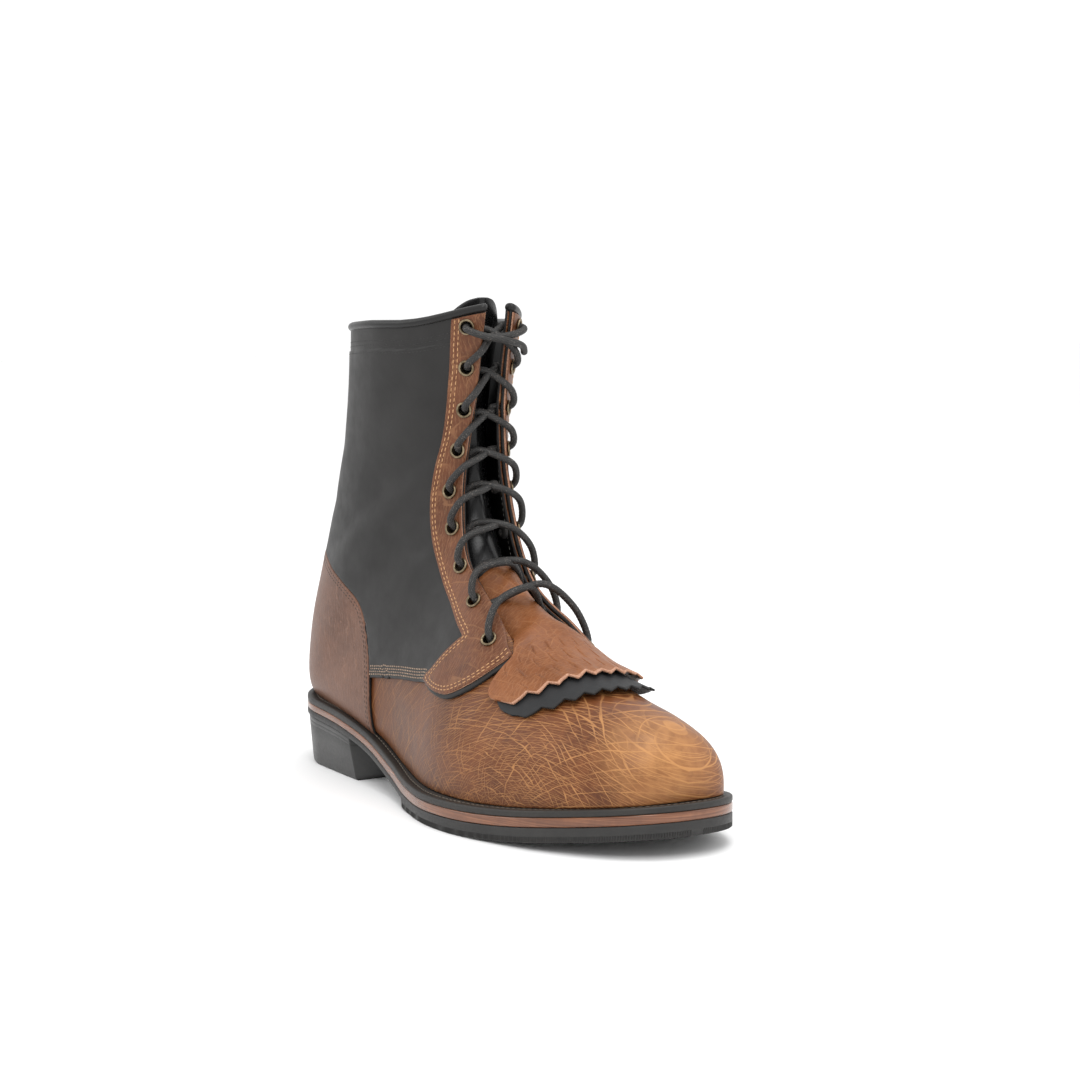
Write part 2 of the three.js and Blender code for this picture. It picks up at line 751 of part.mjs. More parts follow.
// Lace strand through hand-placed points
function strand(points) {
  const circle = [];
  for (let k = 0; k < LACE_SIDES; k += 1) {
    const angle = (2 * Math.PI * k) / LACE_SIDES;
    circle.push(new THREE.Vector2(Math.cos(angle), Math.sin(angle)).multiplyScalar(LACE / 2));
  }
  const path = new THREE.CatmullRomCurve3(points, false, "centripetal");
  return solid(new THREE.ExtrudeGeometry(new THREE.Shape(circle), { steps: LACE_STEPS, extrudePath: path }));
}

const laceOverEyelet = eyeletSeat + FLANGE + SEAM + LACE / 2;
const laceOverEdge = eyestayOut + 2 * SEAM + LACE / 2;
const laceUnderEdge = -WALL - SEAM - LACE / 2;
const laceUnderEyelet = laceUnderEdge - 2 * SEAM;

// Strand from a lower eyelet, over its own edge and under the other edge, to the next eyelet above
function crossing(lower, upper, side, rise) {
  const [lowT] = EYELET_PLACES[lower];
  const [highT] = EYELET_PLACES[upper];
  const at = (share) => lowT + (highT - lowT) * share;
  const middle = offsetPoint(at(0.55), besideEdge(at(0.55), side, -1.2), laceOverEdge)
    .lerp(offsetPoint(at(0.7), besideEdge(at(0.7), -side, -1.6), laceUnderEdge), 0.5);
  return strand([
    offsetPoint(lowT, eyeletAngle(EYELET_PLACES[lower], side), laceOverEyelet),
    offsetPoint(at(0.4), besideEdge(at(0.4), side, 0.5), laceOverEdge + 0.6),
    offsetPoint(at(0.5), besideEdge(at(0.5), side, -2.8), laceOverEdge + 0.3),
    middle.addScaledVector(formNormal(at(0.6), 0), rise),
    offsetPoint(at(0.75), besideEdge(at(0.75), -side, -2.4), laceUnderEdge - 0.4),
    offsetPoint(at(0.85), besideEdge(at(0.85), -side, 1), laceUnderEdge - 0.2),
    offsetPoint(highT, eyeletAngle(EYELET_PLACES[upper], -side), laceUnderEyelet),
  ]);
}

function makeCrossing(row) {
  const rise = LACE_RISE * clamp((row - 2) / 5, 0, 1);
  return surface(crossing(row + 1, row, 1, rise).add(crossing(row + 1, row, -1, rise)));
}

// The two ends cross once more below the top eyelets: one over both edges, the other under the outer edge
function makeTopCrossing() {
  const place = EYELET_PLACES[0];
  const [t] = place;
  const raised = laceOverEdge + LACE;
  const outer = strand([
    offsetPoint(t, eyeletAngle(place, 1), laceOverEyelet),
    offsetPoint(t - 0.35, besideEdge(t - 0.35, 1, 0), raised),
    offsetPoint(t - 0.65, 0, raised),
    offsetPoint(t - 0.85, besideEdge(t - 0.85, -1, 0), raised),
    offsetPoint(t - 1.05, besideEdge(t - 1.05, -1, 5), raised - 1),
  ]);
  const inner = strand([
    offsetPoint(t, eyeletAngle(place, -1), laceOverEyelet),
    offsetPoint(t - 0.25, besideEdge(t - 0.25, -1, 0), raised - 1.5),
    offsetPoint(t - 0.5, 0, raised - 1.5),
    offsetPoint(t - 0.58, besideEdge(t - 0.58, 1, -3), laceOverEdge + 0.6),
  ]);
  return surface(outer.add(inner));
}

function buildBoot() {
  const boot = new THREE.Group();
  const add = (name, geometry, color, roughness, metalness = 0) => {
    const mesh = new THREE.Mesh(geometry, new THREE.MeshStandardMaterial({ color, roughness, metalness }));
    mesh.name = name;
    boot.add(mesh);
  };
  add("outsole", plate({
    top: outsoleTop,
    bottom: outsoleBottom,
    extra: [TREAD_START / SOLE_LENGTH, (TREAD_START + TREAD_STEP) / SOLE_LENGTH],
  }), 0x1c1b1a, 0.6);
  add("midsole", plate({ top: midsoleTop, bottom: midsoleBottom }), 0x8a5a36, 0.35);
  add("welt", makeWelt(), 0x1a1816, 0.55);
  add("heel", makeHeel(), 0x2a2928, 0.5);
  add("insole", makeInsole(), 0xb08050, 0.8);
  add("upper", makeUpper(), 0x8f5a38, 0.5);
  add("quarters", makeQuarters(), 0x343331, 0.45);
  add("counter", makeCounter(), 0x7d5138, 0.5);
  add("eyestay_lateral", makeEyestay(1), 0x9a6038, 0.5);
  add("eyestay_medial", makeEyestay(-1), 0x9a6038, 0.5);
  add("collar_binding", makeBinding(), 0x2b2a29, 0.45);
  add("tongue", makeTongue(), 0x1d1d1e, 0.35);
  add("kiltie_top", makeKiltie(KILTIE_ROWS, kiltieTop, KILTIE), 0xa06a44, 0.5);
  add("kiltie_under", makeKiltie(KILTIE_UNDER_ROWS, kiltieUnder, KILTIE_UNDER), 0x2a2a2b, 0.5);
  EYELET_PLACES.forEach((place, i) => {
    add(`eyelet_lateral_${i + 1}`, makeEyelet(place, 1), 0x6e6250, 0.4, 0.9);
    add(`eyelet_medial_${i + 1}`, makeEyelet(place, -1), 0x6e6250, 0.4, 0.9);
  });
  for (let row = 0; row + 1 < EYELET_PLACES.length; row += 1) {
    add(`lace_cross_${row + 1}`, makeCrossing(row), 0x1b1b1c, 0.7);
  }
  add("lace_cross_top", makeTopCrossing(), 0x1b1b1c, 0.7);
  const box = new THREE.Box3().setFromObject(boot);
  const centre = box.getCenter(new THREE.Vector3());
  boot.children.forEach((mesh) => mesh.geometry.translate(-centre.x, -centre.y, -box.min.z));
  return boot;
}

export default buildBoot();
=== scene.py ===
"""Lace-up packer boot for the right foot: fine leather, rubber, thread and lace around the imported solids.

Lengths in this file are millimetres in the boot's own frame: toe to -Y, outer side of the foot to -X, +Z up.
They are moved by SHIFT and turned into metres when a mesh is made.
"""

import math

import bpy
import numpy as np
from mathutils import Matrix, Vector


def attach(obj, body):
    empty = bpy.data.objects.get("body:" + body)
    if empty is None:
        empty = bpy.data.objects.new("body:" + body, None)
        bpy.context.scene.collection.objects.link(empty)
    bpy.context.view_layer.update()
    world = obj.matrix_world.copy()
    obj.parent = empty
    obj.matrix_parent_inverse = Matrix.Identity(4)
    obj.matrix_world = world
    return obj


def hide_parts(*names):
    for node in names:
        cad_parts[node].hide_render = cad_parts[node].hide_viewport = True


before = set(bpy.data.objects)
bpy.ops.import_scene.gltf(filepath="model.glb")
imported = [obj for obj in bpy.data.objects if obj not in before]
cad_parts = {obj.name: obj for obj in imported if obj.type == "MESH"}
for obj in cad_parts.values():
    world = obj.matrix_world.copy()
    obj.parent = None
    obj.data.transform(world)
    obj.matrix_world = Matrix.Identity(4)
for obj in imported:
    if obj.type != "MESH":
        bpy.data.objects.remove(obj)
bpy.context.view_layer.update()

# Main sizes, the same as the solids have
SOLE_LENGTH = 300.0
BALL_WIDTH = 103.0
UPPER_HEIGHT = 212.0
VAMP_HEIGHT = 77.0
SHAFT_WIDTH = 62.0
HEEL_RISE = 20.8
TOE_SPRING = 9.4
WELT = 3.0
MIDSOLE = 4.3
MIDSOLE_HEEL = 3.3
OUTSOLE = 6.7
OUTSOLE_WAIST = 3.0
TREAD_START = 148.0
TREAD_STEP = 1.5
HEEL_LENGTH = 79.0
HEEL_BREAST = 4.0
HEEL_INSET = 2.4
SEAM = 0.3
WALL = 1.8
QUARTER = 1.0
EYESTAY = 1.2
COUNTER = 1.7
BINDING = 1.0
BINDING_COVER = 2.7
BINDING_MIDDLE = 2.1
STITCH_LIFT = 0.02
PANEL_STITCH_FRONT = -57
COUNTER_STITCH_TOP, COUNTER_STITCH_FRONT = 76, -9
QUARTER_EDGE = 2.0
TONGUE = 1.7
TONGUE_WIDTH = 50.0
KILTIE = 1.2
KILTIE_UNDER = 1.0
KILTIE_LIFT = 0.7
KILTIE_WIDTH = 70.0
EYELET_BARREL = 5.6
EYELET_FLANGE = 8.8
EYELET_TRIM = 0.7
FLANGE = 0.7
LACE = 3.2
LACE_RISE = 13.0
STACK = WELT + MIDSOLE + OUTSOLE
HALF = SOLE_LENGTH / 2
FAR = SOLE_LENGTH
HEEL_ROUND = 0.12
TOE_ROUND = 0.2
TOE_POWER = 2.25
MM = 0.001
SHIFT = np.array([-1.2411, -0.12, 0.0])

# Sole outline: share of the length, then centre shift and half width as shares of the ball's width
OUTLINE = np.array([
    [0.0, 0.016, 0.303], [0.12, 0.011, 0.318], [0.22, -0.006, 0.32], [0.32, -0.034, 0.306],
    [0.42, -0.06, 0.322], [0.52, -0.068, 0.393], [0.6, -0.052, 0.463], [0.67, -0.023, 0.5],
    [0.74, 0.005, 0.495], [0.82, 0.037, 0.461], [0.9, 0.074, 0.428], [1.0, 0.111, 0.404],
])
# Top of the welt: share of the length, of the heel rise, of the toe spring, and of the midsole's growth
LIFT = np.array([
    [0.0, 1.0, 0.0, 0.0], [0.12, 0.905, 0.0, 0.0], [0.22, 0.8, 0.0, 0.05], [0.32, 0.55, 0.0, 0.3],
    [0.42, 0.2, 0.0, 0.8], [0.52, 0.0, 0.0, 1.0], [0.68, 0.0, 0.0, 1.0], [0.78, 0.0, 0.15, 1.0],
    [0.88, 0.0, 0.5, 1.0], [1.0, 0.0, 1.0, 1.0],
])
# Sections of the form, as in the solids
VAMP_SECTIONS = [
    [0.98, 0.16, 0.98, 0.1, 0.107, 0.005, 0.005, 0.6, 2.0, 2.0],
    [0.975, 0.225, 0.975, -0.03, 0.107, 0.097, 0.11, 0.62, 2.1, 4.0],
    [0.96, 0.315, 0.96, -0.08, 0.097, 0.209, 0.219, 0.66, 2.1, 6.0],
    [0.93, 0.41, 0.93, -0.08, 0.083, 0.291, 0.297, 0.7, 2.1, 7.0],
    [0.873, 0.512, 0.873, -0.08, 0.053, 0.359, 0.37, 0.74, 2.1, 8.0],
    [0.8, 0.612, 0.8, -0.08, 0.029, 0.408, 0.407, 0.76, 2.1, 8.0],
    [0.72, 0.762, 0.72, -0.08, 0.01, 0.451, 0.41, 0.78, 1.95, 8.0],
    [0.653, 1.0, 0.643, -0.07, 0.005, 0.466, 0.374, 0.8, 1.8, 8.0],
    [0.597, 1.2, 0.56, -0.06, 0.0, 0.437, 0.32, 0.8, 1.7, 8.0],
]
SHAFT_SECTIONS = [
    [0.557, 0.502, 0.46, -0.02, 0.0, 0.613, 0.476, 0.78, 1.65, 8.0],
    [0.533, 0.563, 0.347, -0.02, 0.0, 0.532, 0.46, 0.7, 1.65, 7.0],
    [0.522, 0.615, 0.22, -0.02, 0.0, 0.516, 0.484, 0.62, 1.6, 6.0],
    [0.517, 0.653, 0.109, -0.02, 0.0, 0.508, 0.5, 0.56, 1.6, 4.4],
    [0.513, 0.686, 0.02, -0.008, 0.0, 0.528, 0.52, 0.54, 1.6, 2.6],
    [0.512, 0.719, 0.01, 0.105, 0.0, 0.518, 0.515, 0.54, 1.6, 2.1],
    [0.512, 0.757, 0.034, 0.234, 0.0, 0.473, 0.5, 0.54, 1.6, 2.1],
    [0.513, 0.799, 0.07, 0.36, 0.0, 0.464, 0.492, 0.54, 1.6, 2.1],
    [0.518, 0.846, 0.103, 0.48, 0.0, 0.464, 0.484, 0.54, 1.6, 2.1],
    [0.523, 0.893, 0.131, 0.6, 0.0, 0.472, 0.492, 0.54, 1.6, 2.1],
    [0.53, 0.941, 0.149, 0.71, 0.0, 0.488, 0.508, 0.54, 1.6, 2.1],
    [0.537, 0.988, 0.159, 0.814, 0.0, 0.504, 0.524, 0.54, 1.6, 2.1],
    [0.542, 1.044, 0.166, 0.914, 0.0, 0.52, 0.54, 0.54, 1.6, 2.1],
    [0.547, 1.106, 0.169, 0.98, 0.0, 0.525, 0.545, 0.54, 1.6, 2.1],
]
# Side view lines: share of the length, height above the welt / UPPER_HEIGHT
COLLAR = [[-0.1, 0.862], [0.157, 0.871], [0.4, 0.949], [0.533, 1.014], [0.7, 1.08]]
EYESTAY_BACK = [
    [0.49, 0.976], [0.467, 0.8], [0.447, 0.655], [0.441, 0.585], [0.447, 0.525], [0.467, 0.467],
    [0.503, 0.409], [0.543, 0.365], [0.597, 0.316],
]
EYESTAY_WING = [
    [0.547, 0.242], [0.517, 0.217], [0.555, 0.206], [0.6, 0.201], [0.63, 0.209], [0.663, 0.235],
    [0.683, 0.273], [0.683, 0.3],
]
VAMP_LINE = [[0.3, 0.115], [0.417, 0.175], [0.523, 0.209]]
COUNTER_FRONT = [
    [-0.1, 0.36], [0.05, 0.356], [0.153, 0.336], [0.233, 0.31], [0.283, 0.282], [0.308, 0.24],
    [0.32, 0.189], [0.323, 0.124], [0.322, 0.06], [0.33, -0.1],
]
EYELET_LINE = [
    [0.508, 0.962], [0.498, 0.872], [0.488, 0.781], [0.48, 0.69], [0.474, 0.6], [0.49, 0.525],
    [0.526, 0.45], [0.582, 0.384], [0.643, 0.313],
]
# Throat in front view: half gap / SHAFT_WIDTH, height above the ball's welt / UPPER_HEIGHT
THROAT = [
    [0.09, 1.1], [0.098, 0.98], [0.103, 0.8], [0.168, 0.63], [0.214, 0.53], [0.246, 0.465],
    [0.265, 0.39], [0.277, 0.35],
]
VAMP_THROAT_END = [[0.277, 0.315]]
FACING_END = [[0.29, 0.33], [0.325, 0.3], [0.325, 0.27]]
THROAT_DEPTH = 0.4


def hermite(table, x):
    """Rows of a table at shares x of its first column, on a smooth curve."""
    x = np.clip(np.asarray(x, float), table[0, 0], table[-1, 0])
    i = np.clip(np.searchsorted(table[:, 0], x, side="right") - 1, 0, len(table) - 2)
    before = np.maximum(np.arange(len(table)) - 1, 0)
    after = np.minimum(np.arange(len(table)) + 1, len(table) - 1)
    slope = (table[after] - table[before]) / (table[after, :1] - table[before, :1])
    span = (table[i + 1, 0] - table[i, 0])[..., None]
    u = ((x - table[i, 0])[..., None]) / span
    low, high = table[i], table[i + 1]
    start, end = slope[i] * span, slope[i + 1] * span
    rise = high - low
    return low + u * start + u**2 * (3 * rise - 2 * start - end) + u**3 * (start + end - 2 * rise)


def catmull(rows, t):
    """Rows between rows on a Catmull-Rom curve, t counted in rows."""
    rows = np.asarray(rows, float)
    last = len(rows) - 1
    t = np.clip(np.asarray(t, float), 0, last)
    i = np.minimum(np.floor(t).astype(int), last - 1)
    u = (t - i)[..., None]
    b, c = rows[i], rows[i + 1]
    a = np.where((i > 0)[..., None], rows[np.maximum(i - 1, 0)], 2 * b - c)
    d = np.where((i < last - 1)[..., None], rows[np.minimum(i + 2, last)], 2 * c - b)
    return 0.5 * (2 * b + (c - a) * u + (2 * a - 5 * b + 4 * c - d) * u**2 + (3 * b - a - 3 * c + d) * u**3)


def welt_top(length):
    row = hermite(LIFT, np.asarray(length) / SOLE_LENGTH)
    return STACK + HEEL_RISE * row[..., 1] + TOE_SPRING * row[..., 2]


def midsole_thickness(length):
    return MIDSOLE_HEEL + (MIDSOLE - MIDSOLE_HEEL) * hermite(LIFT, np.asarray(length) / SOLE_LENGTH)[..., 3]


def in_millimetres(rows, height, width):
    rows = np.array(rows)
    rows[:, 0] *= SOLE_LENGTH
    rows[:, 2] *= SOLE_LENGTH
    rows[:, 1] = welt_top(rows[:, 0]) + rows[:, 1] * height
    rows[:, 3] = welt_top(rows[:, 2]) + rows[:, 3] * height
    rows[:, 4:7] *= width
    return rows


SECTIONS = np.vstack([
    in_millimetres(VAMP_SECTIONS, VAMP_HEIGHT, BALL_WIDTH),
    in_millimetres(SHAFT_SECTIONS, UPPER_HEIGHT, SHAFT_WIDTH),
])
LAST_ROW = len(SECTIONS) - 1.0


def form_point(t, angle):
    """Points of the form: t in rows from the toe up, angle from the front, outer side positive."""
    row = catmull(SECTIONS, t)
    front_at, front_up, back_at, back_up, centre, outer, inner, widest, front, back = np.moveaxis(row, -1, 0)
    cosine, sine = np.cos(angle), np.sin(angle)
    power = 2 / np.where(cosine > 0, front, back)
    side = np.abs(sine) ** power
    along = np.abs(cosine) ** power
    share = np.where(cosine > 0, widest * (1 - along), widest + (1 - widest) * along)
    x = centre + np.where(sine > 0, -outer, inner) * side
    y = HALF - (front_at + (back_at - front_at) * share)
    return np.stack([x, y, front_up + (back_up - front_up) * share], -1)


def unit(v):
    return v / np.maximum(np.linalg.norm(v, axis=-1, keepdims=True), 1e-9)


def form_normal(t, angle):
    low, high = np.clip(t - 0.08, 0, LAST_ROW), np.clip(t + 0.08, 0, LAST_ROW)
    along = form_point(high, angle) - form_point(low, angle)
    across = form_point(t, angle + 0.06) - form_point(t, angle - 0.06)
    return unit(np.cross(along, across))


def offset_point(t, angle, offset):
    t, angle = np.asarray(t, float), np.asarray(angle, float)
    return form_point(t, angle) + form_normal(t, angle) * np.asarray(offset, float)[..., None]


def smooth_line(points, steps=8):
    """Open line through given points, made smooth."""
    return catmull(points, np.linspace(0, len(points) - 1, steps * (len(points) - 1) + 1))


def side_line(rows, steps=8):
    rows = smooth_line(rows, steps)
    at = rows[:, 0] * SOLE_LENGTH
    return np.stack([HALF - at, welt_top(at) + rows[:, 1] * UPPER_HEIGHT], -1)


def signed_distance(points, outline):
    """Distance of 2-D points from a closed outline, positive inside."""
    a, b = outline, np.roll(outline, -1, 0)
    along = b - a
    length = np.maximum((along**2).sum(1), 1e-9)
    best = np.full(len(points), 1e9)
    inside = np.zeros(len(points), bool)
    for i in range(len(a)):
        rel = points - a[i]
        u = np.clip((rel @ along[i]) / length[i], 0, 1)
        best = np.minimum(best, np.hypot(*(rel - u[:, None] * along[i]).T))
        cross = (a[i, 1] > points[:, 1]) != (b[i, 1] > points[:, 1])
        rise = along[i, 1] if abs(along[i, 1]) > 1e-12 else 1e-12
        inside ^= cross & (points[:, 0] < a[i, 0] + (points[:, 1] - a[i, 1]) * along[i, 0] / rise)
    return np.where(inside, best, -best)


def collar_height(y, drop=0.0):
    line = side_line(COLLAR, 6)[::-1]
    return np.interp(y, line[:, 0], line[:, 1]) - drop


def from_side(points, outline):
    return signed_distance(points[:, 1:], outline)


def throat_outline(end):
    half = np.array(THROAT + end)
    half = np.stack([half[:, 0] * SHAFT_WIDTH, STACK + half[:, 1] * UPPER_HEIGHT], -1)
    half = smooth_line(half, 5)
    return np.vstack([half, (half * [-1, 1])[::-1]])


def outside_throat(points, end):
    distance = -signed_distance(points[:, [0, 2]], throat_outline(end))
    return np.where(points[:, 1] < HALF - THROAT_DEPTH * SOLE_LENGTH, distance, 1e3)


def half_gap(height):
    rows = np.array(THROAT)[::-1]
    return np.interp(height, STACK + rows[:, 1] * UPPER_HEIGHT, rows[:, 0] * SHAFT_WIDTH)


def beside_edge(t, side, outside):
    """Angle beside the facing's free edge at row t, so far outside the edge; side 1 outer, -1 inner."""
    low, high = 0.0, 1.4
    for _ in range(30):
        angle = (low + high) / 2
        point = form_point(np.array(t), np.array(side * angle))
        if abs(point[0]) < half_gap(point[2]) + outside:
            low = angle
        else:
            high = angle
    return side * low


def angle_for_width(t, distance):
    """Angles at which the form's surface is a given distance out from its top line."""
    t, distance = np.broadcast_arrays(np.asarray(t, float), np.asarray(distance, float))
    side = np.where(distance < 0, -1.0, 1.0)
    centre = form_point(t, np.zeros_like(t))[..., 0]
    low, high = np.zeros_like(t), np.full_like(t, np.pi / 2)
    for _ in range(30):
        angle = (low + high) / 2
        short = np.abs(form_point(t, side * angle)[..., 0] - centre) < np.abs(distance)
        low, high = np.where(short, angle, low), np.where(short, high, angle)
    return side * low


def locate(target):
    """Row and angle on the front half of the form that a side view point covers."""
    ts, angles = np.meshgrid(np.linspace(4, LAST_ROW, 400), np.linspace(0.02, 1.5, 240), indexing="ij")
    points = form_point(ts, angles)
    miss = np.hypot(points[..., 1] - target[0], points[..., 2] - target[1])
    i = np.unravel_index(np.argmin(miss), miss.shape)
    return ts[i], angles[i]


EYELETS = []
for at, up in EYELET_LINE:
    row_t, row_angle = locate((HALF - at * SOLE_LENGTH, welt_top(at * SOLE_LENGTH) + up * UPPER_HEIGHT))
    distance = abs(form_point(row_t, row_angle)[0] - form_point(row_t, np.array(0.0))[0])
    EYELETS.append((row_t, {side: float(angle_for_width(row_t, side * distance)) for side in (1, -1)}))

QUARTER_IN = SEAM
QUARTER_OUT = QUARTER_IN + QUARTER
COUNTER_OUT = QUARTER_IN + COUNTER
EYESTAY_IN = QUARTER_OUT + SEAM
EYESTAY_OUT = EYESTAY_IN + EYESTAY
EYELET_SEAT = EYESTAY_OUT + 2 * SEAM
EDGE_DROP = BINDING + SEAM


# Materials

class Nodes:
    """Short hand for a material's node tree."""

    def __init__(self, name):
        self.material = bpy.data.materials.new(name)
        self.material.use_nodes = True
        self.tree = self.material.node_tree
        self.shader = self.tree.nodes["Principled BSDF"]
        self.place = self.add("ShaderNodeTexCoord").outputs["Object"]

    def add(self, kind, links=None, **settings):
        node = self.tree.nodes.new(kind)
        for key, value in settings.items():
            setattr(node, key, value)
        for key, value in (links or {}).items():
            self.put(node.inputs[key], value)
        return node

    def put(self, socket, value):
        if isinstance(value, bpy.types.NodeSocket):
            self.tree.links.new(value, socket)
        else:
            socket.default_value = value

    def scaled(self, scale, place=None):
        return self.add("ShaderNodeMapping", {"Vector": place or self.place, "Scale": scale}).outputs[0]

    def noise(self, scale, detail=4.0, rough=0.55, distortion=0.0, place=None):
        links = {"Vector": place or self.place, "Scale": scale, "Detail": detail, "Roughness": rough,
                 "Distortion": distortion}
        return self.add("ShaderNodeTexNoise", links).outputs["Fac"]

    def cracks(self, scale, place=None, randomness=1.0):
        links = {"Vector": place or self.place, "Scale": scale, "Randomness": randomness}
        return self.add("ShaderNodeTexVoronoi", links, feature="DISTANCE_TO_EDGE").outputs["Distance"]

    def math(self, operation, a, b=0.5, clamp=False):
        return self.add("ShaderNodeMath", {0: a, 1: b}, operation=operation, use_clamp=clamp).outputs[0]

    def ramp(self, value, *stops):
        node = self.add("ShaderNodeValToRGB", {"Fac": value})
        elements = node.color_ramp.elements
        while len(elements) < len(stops):
            elements.new(0.5)
        for element, (position, colour) in zip(elements, stops):
            element.position = position
            element.color = (*colour, 1) if isinstance(colour, tuple) else (colour, colour, colour, 1)
        return node.outputs["Color"]

    def mix(self, factor, a, b, blend="MIX"):
        node = self.add("ShaderNodeMix", data_type="RGBA", blend_type=blend)
        for socket, value in ((node.inputs[0], factor), (node.inputs[6], a), (node.inputs[7], b)):
            if isinstance(value, tuple):
                value = (*value, 1)
            self.put(socket, value)
        return node.outputs[2]

    def bump(self, height, distance, strength=1.0, before=None):
        node = self.add("ShaderNodeBump", {"Height": height, "Distance": distance, "Strength": strength})
        if before:
            self.put(node.inputs["Normal"], before)
        return node.outputs[0]

    def finish(self, colour, roughness, normal=None, **uniform):
        self.put(self.shader.inputs["Base Color"], (*colour, 1) if isinstance(colour, tuple) else colour)
        self.put(self.shader.inputs["Roughness"], roughness)
        if normal:
            self.put(self.shader.inputs["Normal"], normal)
        for key, value in uniform.items():
            self.shader.inputs[key.replace("_", " ")].default_value = value
        return self.material


# The wave texture repeats after this distance at scale 1
WAVE_PERIOD = 0.314


def hair_lines(n, place, spacing, stretch, turn, bend, width):
    """Fine curved lines, one in each spacing, that fade in and out."""
    turned = n.add("ShaderNodeMapping", {"Vector": place, "Rotation": (0, 0, turn)}).outputs[0]
    scaled = n.scaled((stretch, 1.0, 1.0), turned)
    links = {"Vector": scaled, "Scale": WAVE_PERIOD / spacing, "Distortion": bend, "Detail": 3.0,
             "Detail Scale": 0.9, "Detail Roughness": 0.6}
    wave = n.add("ShaderNodeTexWave", links, bands_direction="Y").outputs["Fac"]
    line = n.ramp(wave, (1 - width, 0.0), (1 - width * 0.3, 1.0))
    gaps = n.ramp(n.noise(0.5 / spacing, 3, 0.6, 0.0, scaled), (0.42, 0.0), (0.6, 1.0))
    return n.math("MULTIPLY", line, gaps)


def crackle_leather(name, dark, mid, light, pale, lines=0.8, spread=26, flow=True, painted_highlight_and_shade=None):
    """Oiled leather with lighter hair lines along the flow map; given a spot, also a painted highlight there,
    partly lighter rubbed leather, and painted shade towards the back.
    """
    n = Nodes(name)
    patches = n.noise(spread, 3, 0.6)
    base = n.ramp(patches, (0.3, dark), (0.5, mid), (0.72, light))
    mottle = n.noise(240, 5, 0.7)
    base = n.mix(n.ramp(mottle, (0.42, 0.0), (0.68, 0.6)), base, light)
    base = n.mix(n.ramp(n.noise(420, 4, 0.7), (0.52, 0.0), (0.72, 0.5)), base, dark)
    place = n.add("ShaderNodeUVMap", uv_map="flow").outputs[0] if flow else n.scaled((900, 900, 700))
    lift = hair_lines(n, place, 1.5, 0.14, 0.0, 8.0, 0.12)
    for spacing, stretch, turn, bend, width in ((1.1, 0.2, 0.3, 6.0, 0.12), (2.2, 0.2, -0.5, 9.0, 0.07),
                                                (3.1, 0.3, 1.2, 10.0, 0.05)):
        lift = n.math("MAXIMUM", lift, hair_lines(n, place, spacing, stretch, turn, bend, width))
    if painted_highlight_and_shade:
        centre, radius = painted_highlight_and_shade
        # Painted shade: the leather grows darker and its hair lines fainter towards the back.
        along = n.add("ShaderNodeSeparateXYZ", {0: n.place}).outputs[1]
        back = n.math("MULTIPLY", n.math("ADD", along, 0.11), 11, True)
        base = n.mix(n.math("MULTIPLY", back, 0.5), base, dark)
        lift = n.math("MULTIPLY", lift, n.math("SUBTRACT", 1.0, n.math("MULTIPLY", back, 0.55)))
        # Painted highlight: a paler spot round a point on the toe, partly lighter rubbed leather.
        offset = n.add("ShaderNodeVectorMath", {0: n.place, 1: centre}, operation="DISTANCE").outputs["Value"]
        spot = n.ramp(n.math("DIVIDE", offset, radius), (0.15, 1.0), (1.0, 0.0))
        painted_highlight_mask = n.math("MULTIPLY", spot, n.ramp(n.noise(160, 4, 0.6), (0.3, 0.45), (0.6, 1.0)))
        base = n.mix(n.math("MULTIPLY", painted_highlight_mask, 0.75), base, pale)
    colour = n.mix(n.math("MULTIPLY", lift, lines), base, pale)
    normal = n.bump(n.cracks(900), 0.00012, 0.35)
    normal = n.bump(lift, 0.00016, 0.5, normal)
    rough = n.ramp(n.math("ADD", n.math("MULTIPLY", patches, 0.5), n.math("MULTIPLY", lift, 0.3)),
                   (0.1, 0.36), (0.6, 0.52))
    return n.finish(colour, rough, normal, Specular_IOR_Level=0.28)


def smooth_leather(name, dark, light, rough_low=0.32, rough_high=0.46, grain=1100, depth=0.00009, patch=24):
    n = Nodes(name)
    patches = n.noise(patch, 4, 0.6)
    colour = n.ramp(patches, (0.32, dark), (0.7, light))
    pores = n.cracks(grain)
    fold = n.noise(330, 5, 0.6)
    normal = n.bump(pores, depth, 0.4)
    normal = n.bump(fold, 0.0001, 0.3, normal)
    rough = n.ramp(n.noise(90, 4, 0.6), (0.3, rough_low), (0.7, rough_high))
    return n.finish(colour, rough, normal, Specular_IOR_Level=0.3)


def raw_edge(name, dark, light):
    n = Nodes(name)
    fibres = n.noise(1400, 5, 0.7)
    colour = n.ramp(fibres, (0.35, dark), (0.65, light))
    return n.finish(colour, 0.75, n.bump(fibres, 0.0001, 0.6))


# The vamp gets a painted highlight on the toe and painted shade towards the back.
VAMP = crackle_leather("vamp_leather", (0.068, 0.0205, 0.0072), (0.125, 0.0385, 0.012), (0.185, 0.062, 0.02),
                       (0.5, 0.24, 0.085), 0.72, painted_highlight_and_shade=((0.004, -0.137, 0.043), 0.032))
COUNTER_SKIN = crackle_leather("counter_leather", (0.07, 0.028, 0.015), (0.11, 0.046, 0.025),
                               (0.155, 0.072, 0.044), (0.28, 0.16, 0.11), 0.4, 22, False)
EYESTAY_SKIN = crackle_leather("eyestay_leather", (0.07, 0.022, 0.008), (0.11, 0.036, 0.0135),
                               (0.16, 0.058, 0.025), (0.34, 0.17, 0.08), 0.35, 30, False)
KILTIE_SKIN = crackle_leather("kiltie_leather", (0.135, 0.042, 0.012), (0.19, 0.0625, 0.019),
                              (0.25, 0.09, 0.031), (0.42, 0.2, 0.09), 0.3, 36, False)
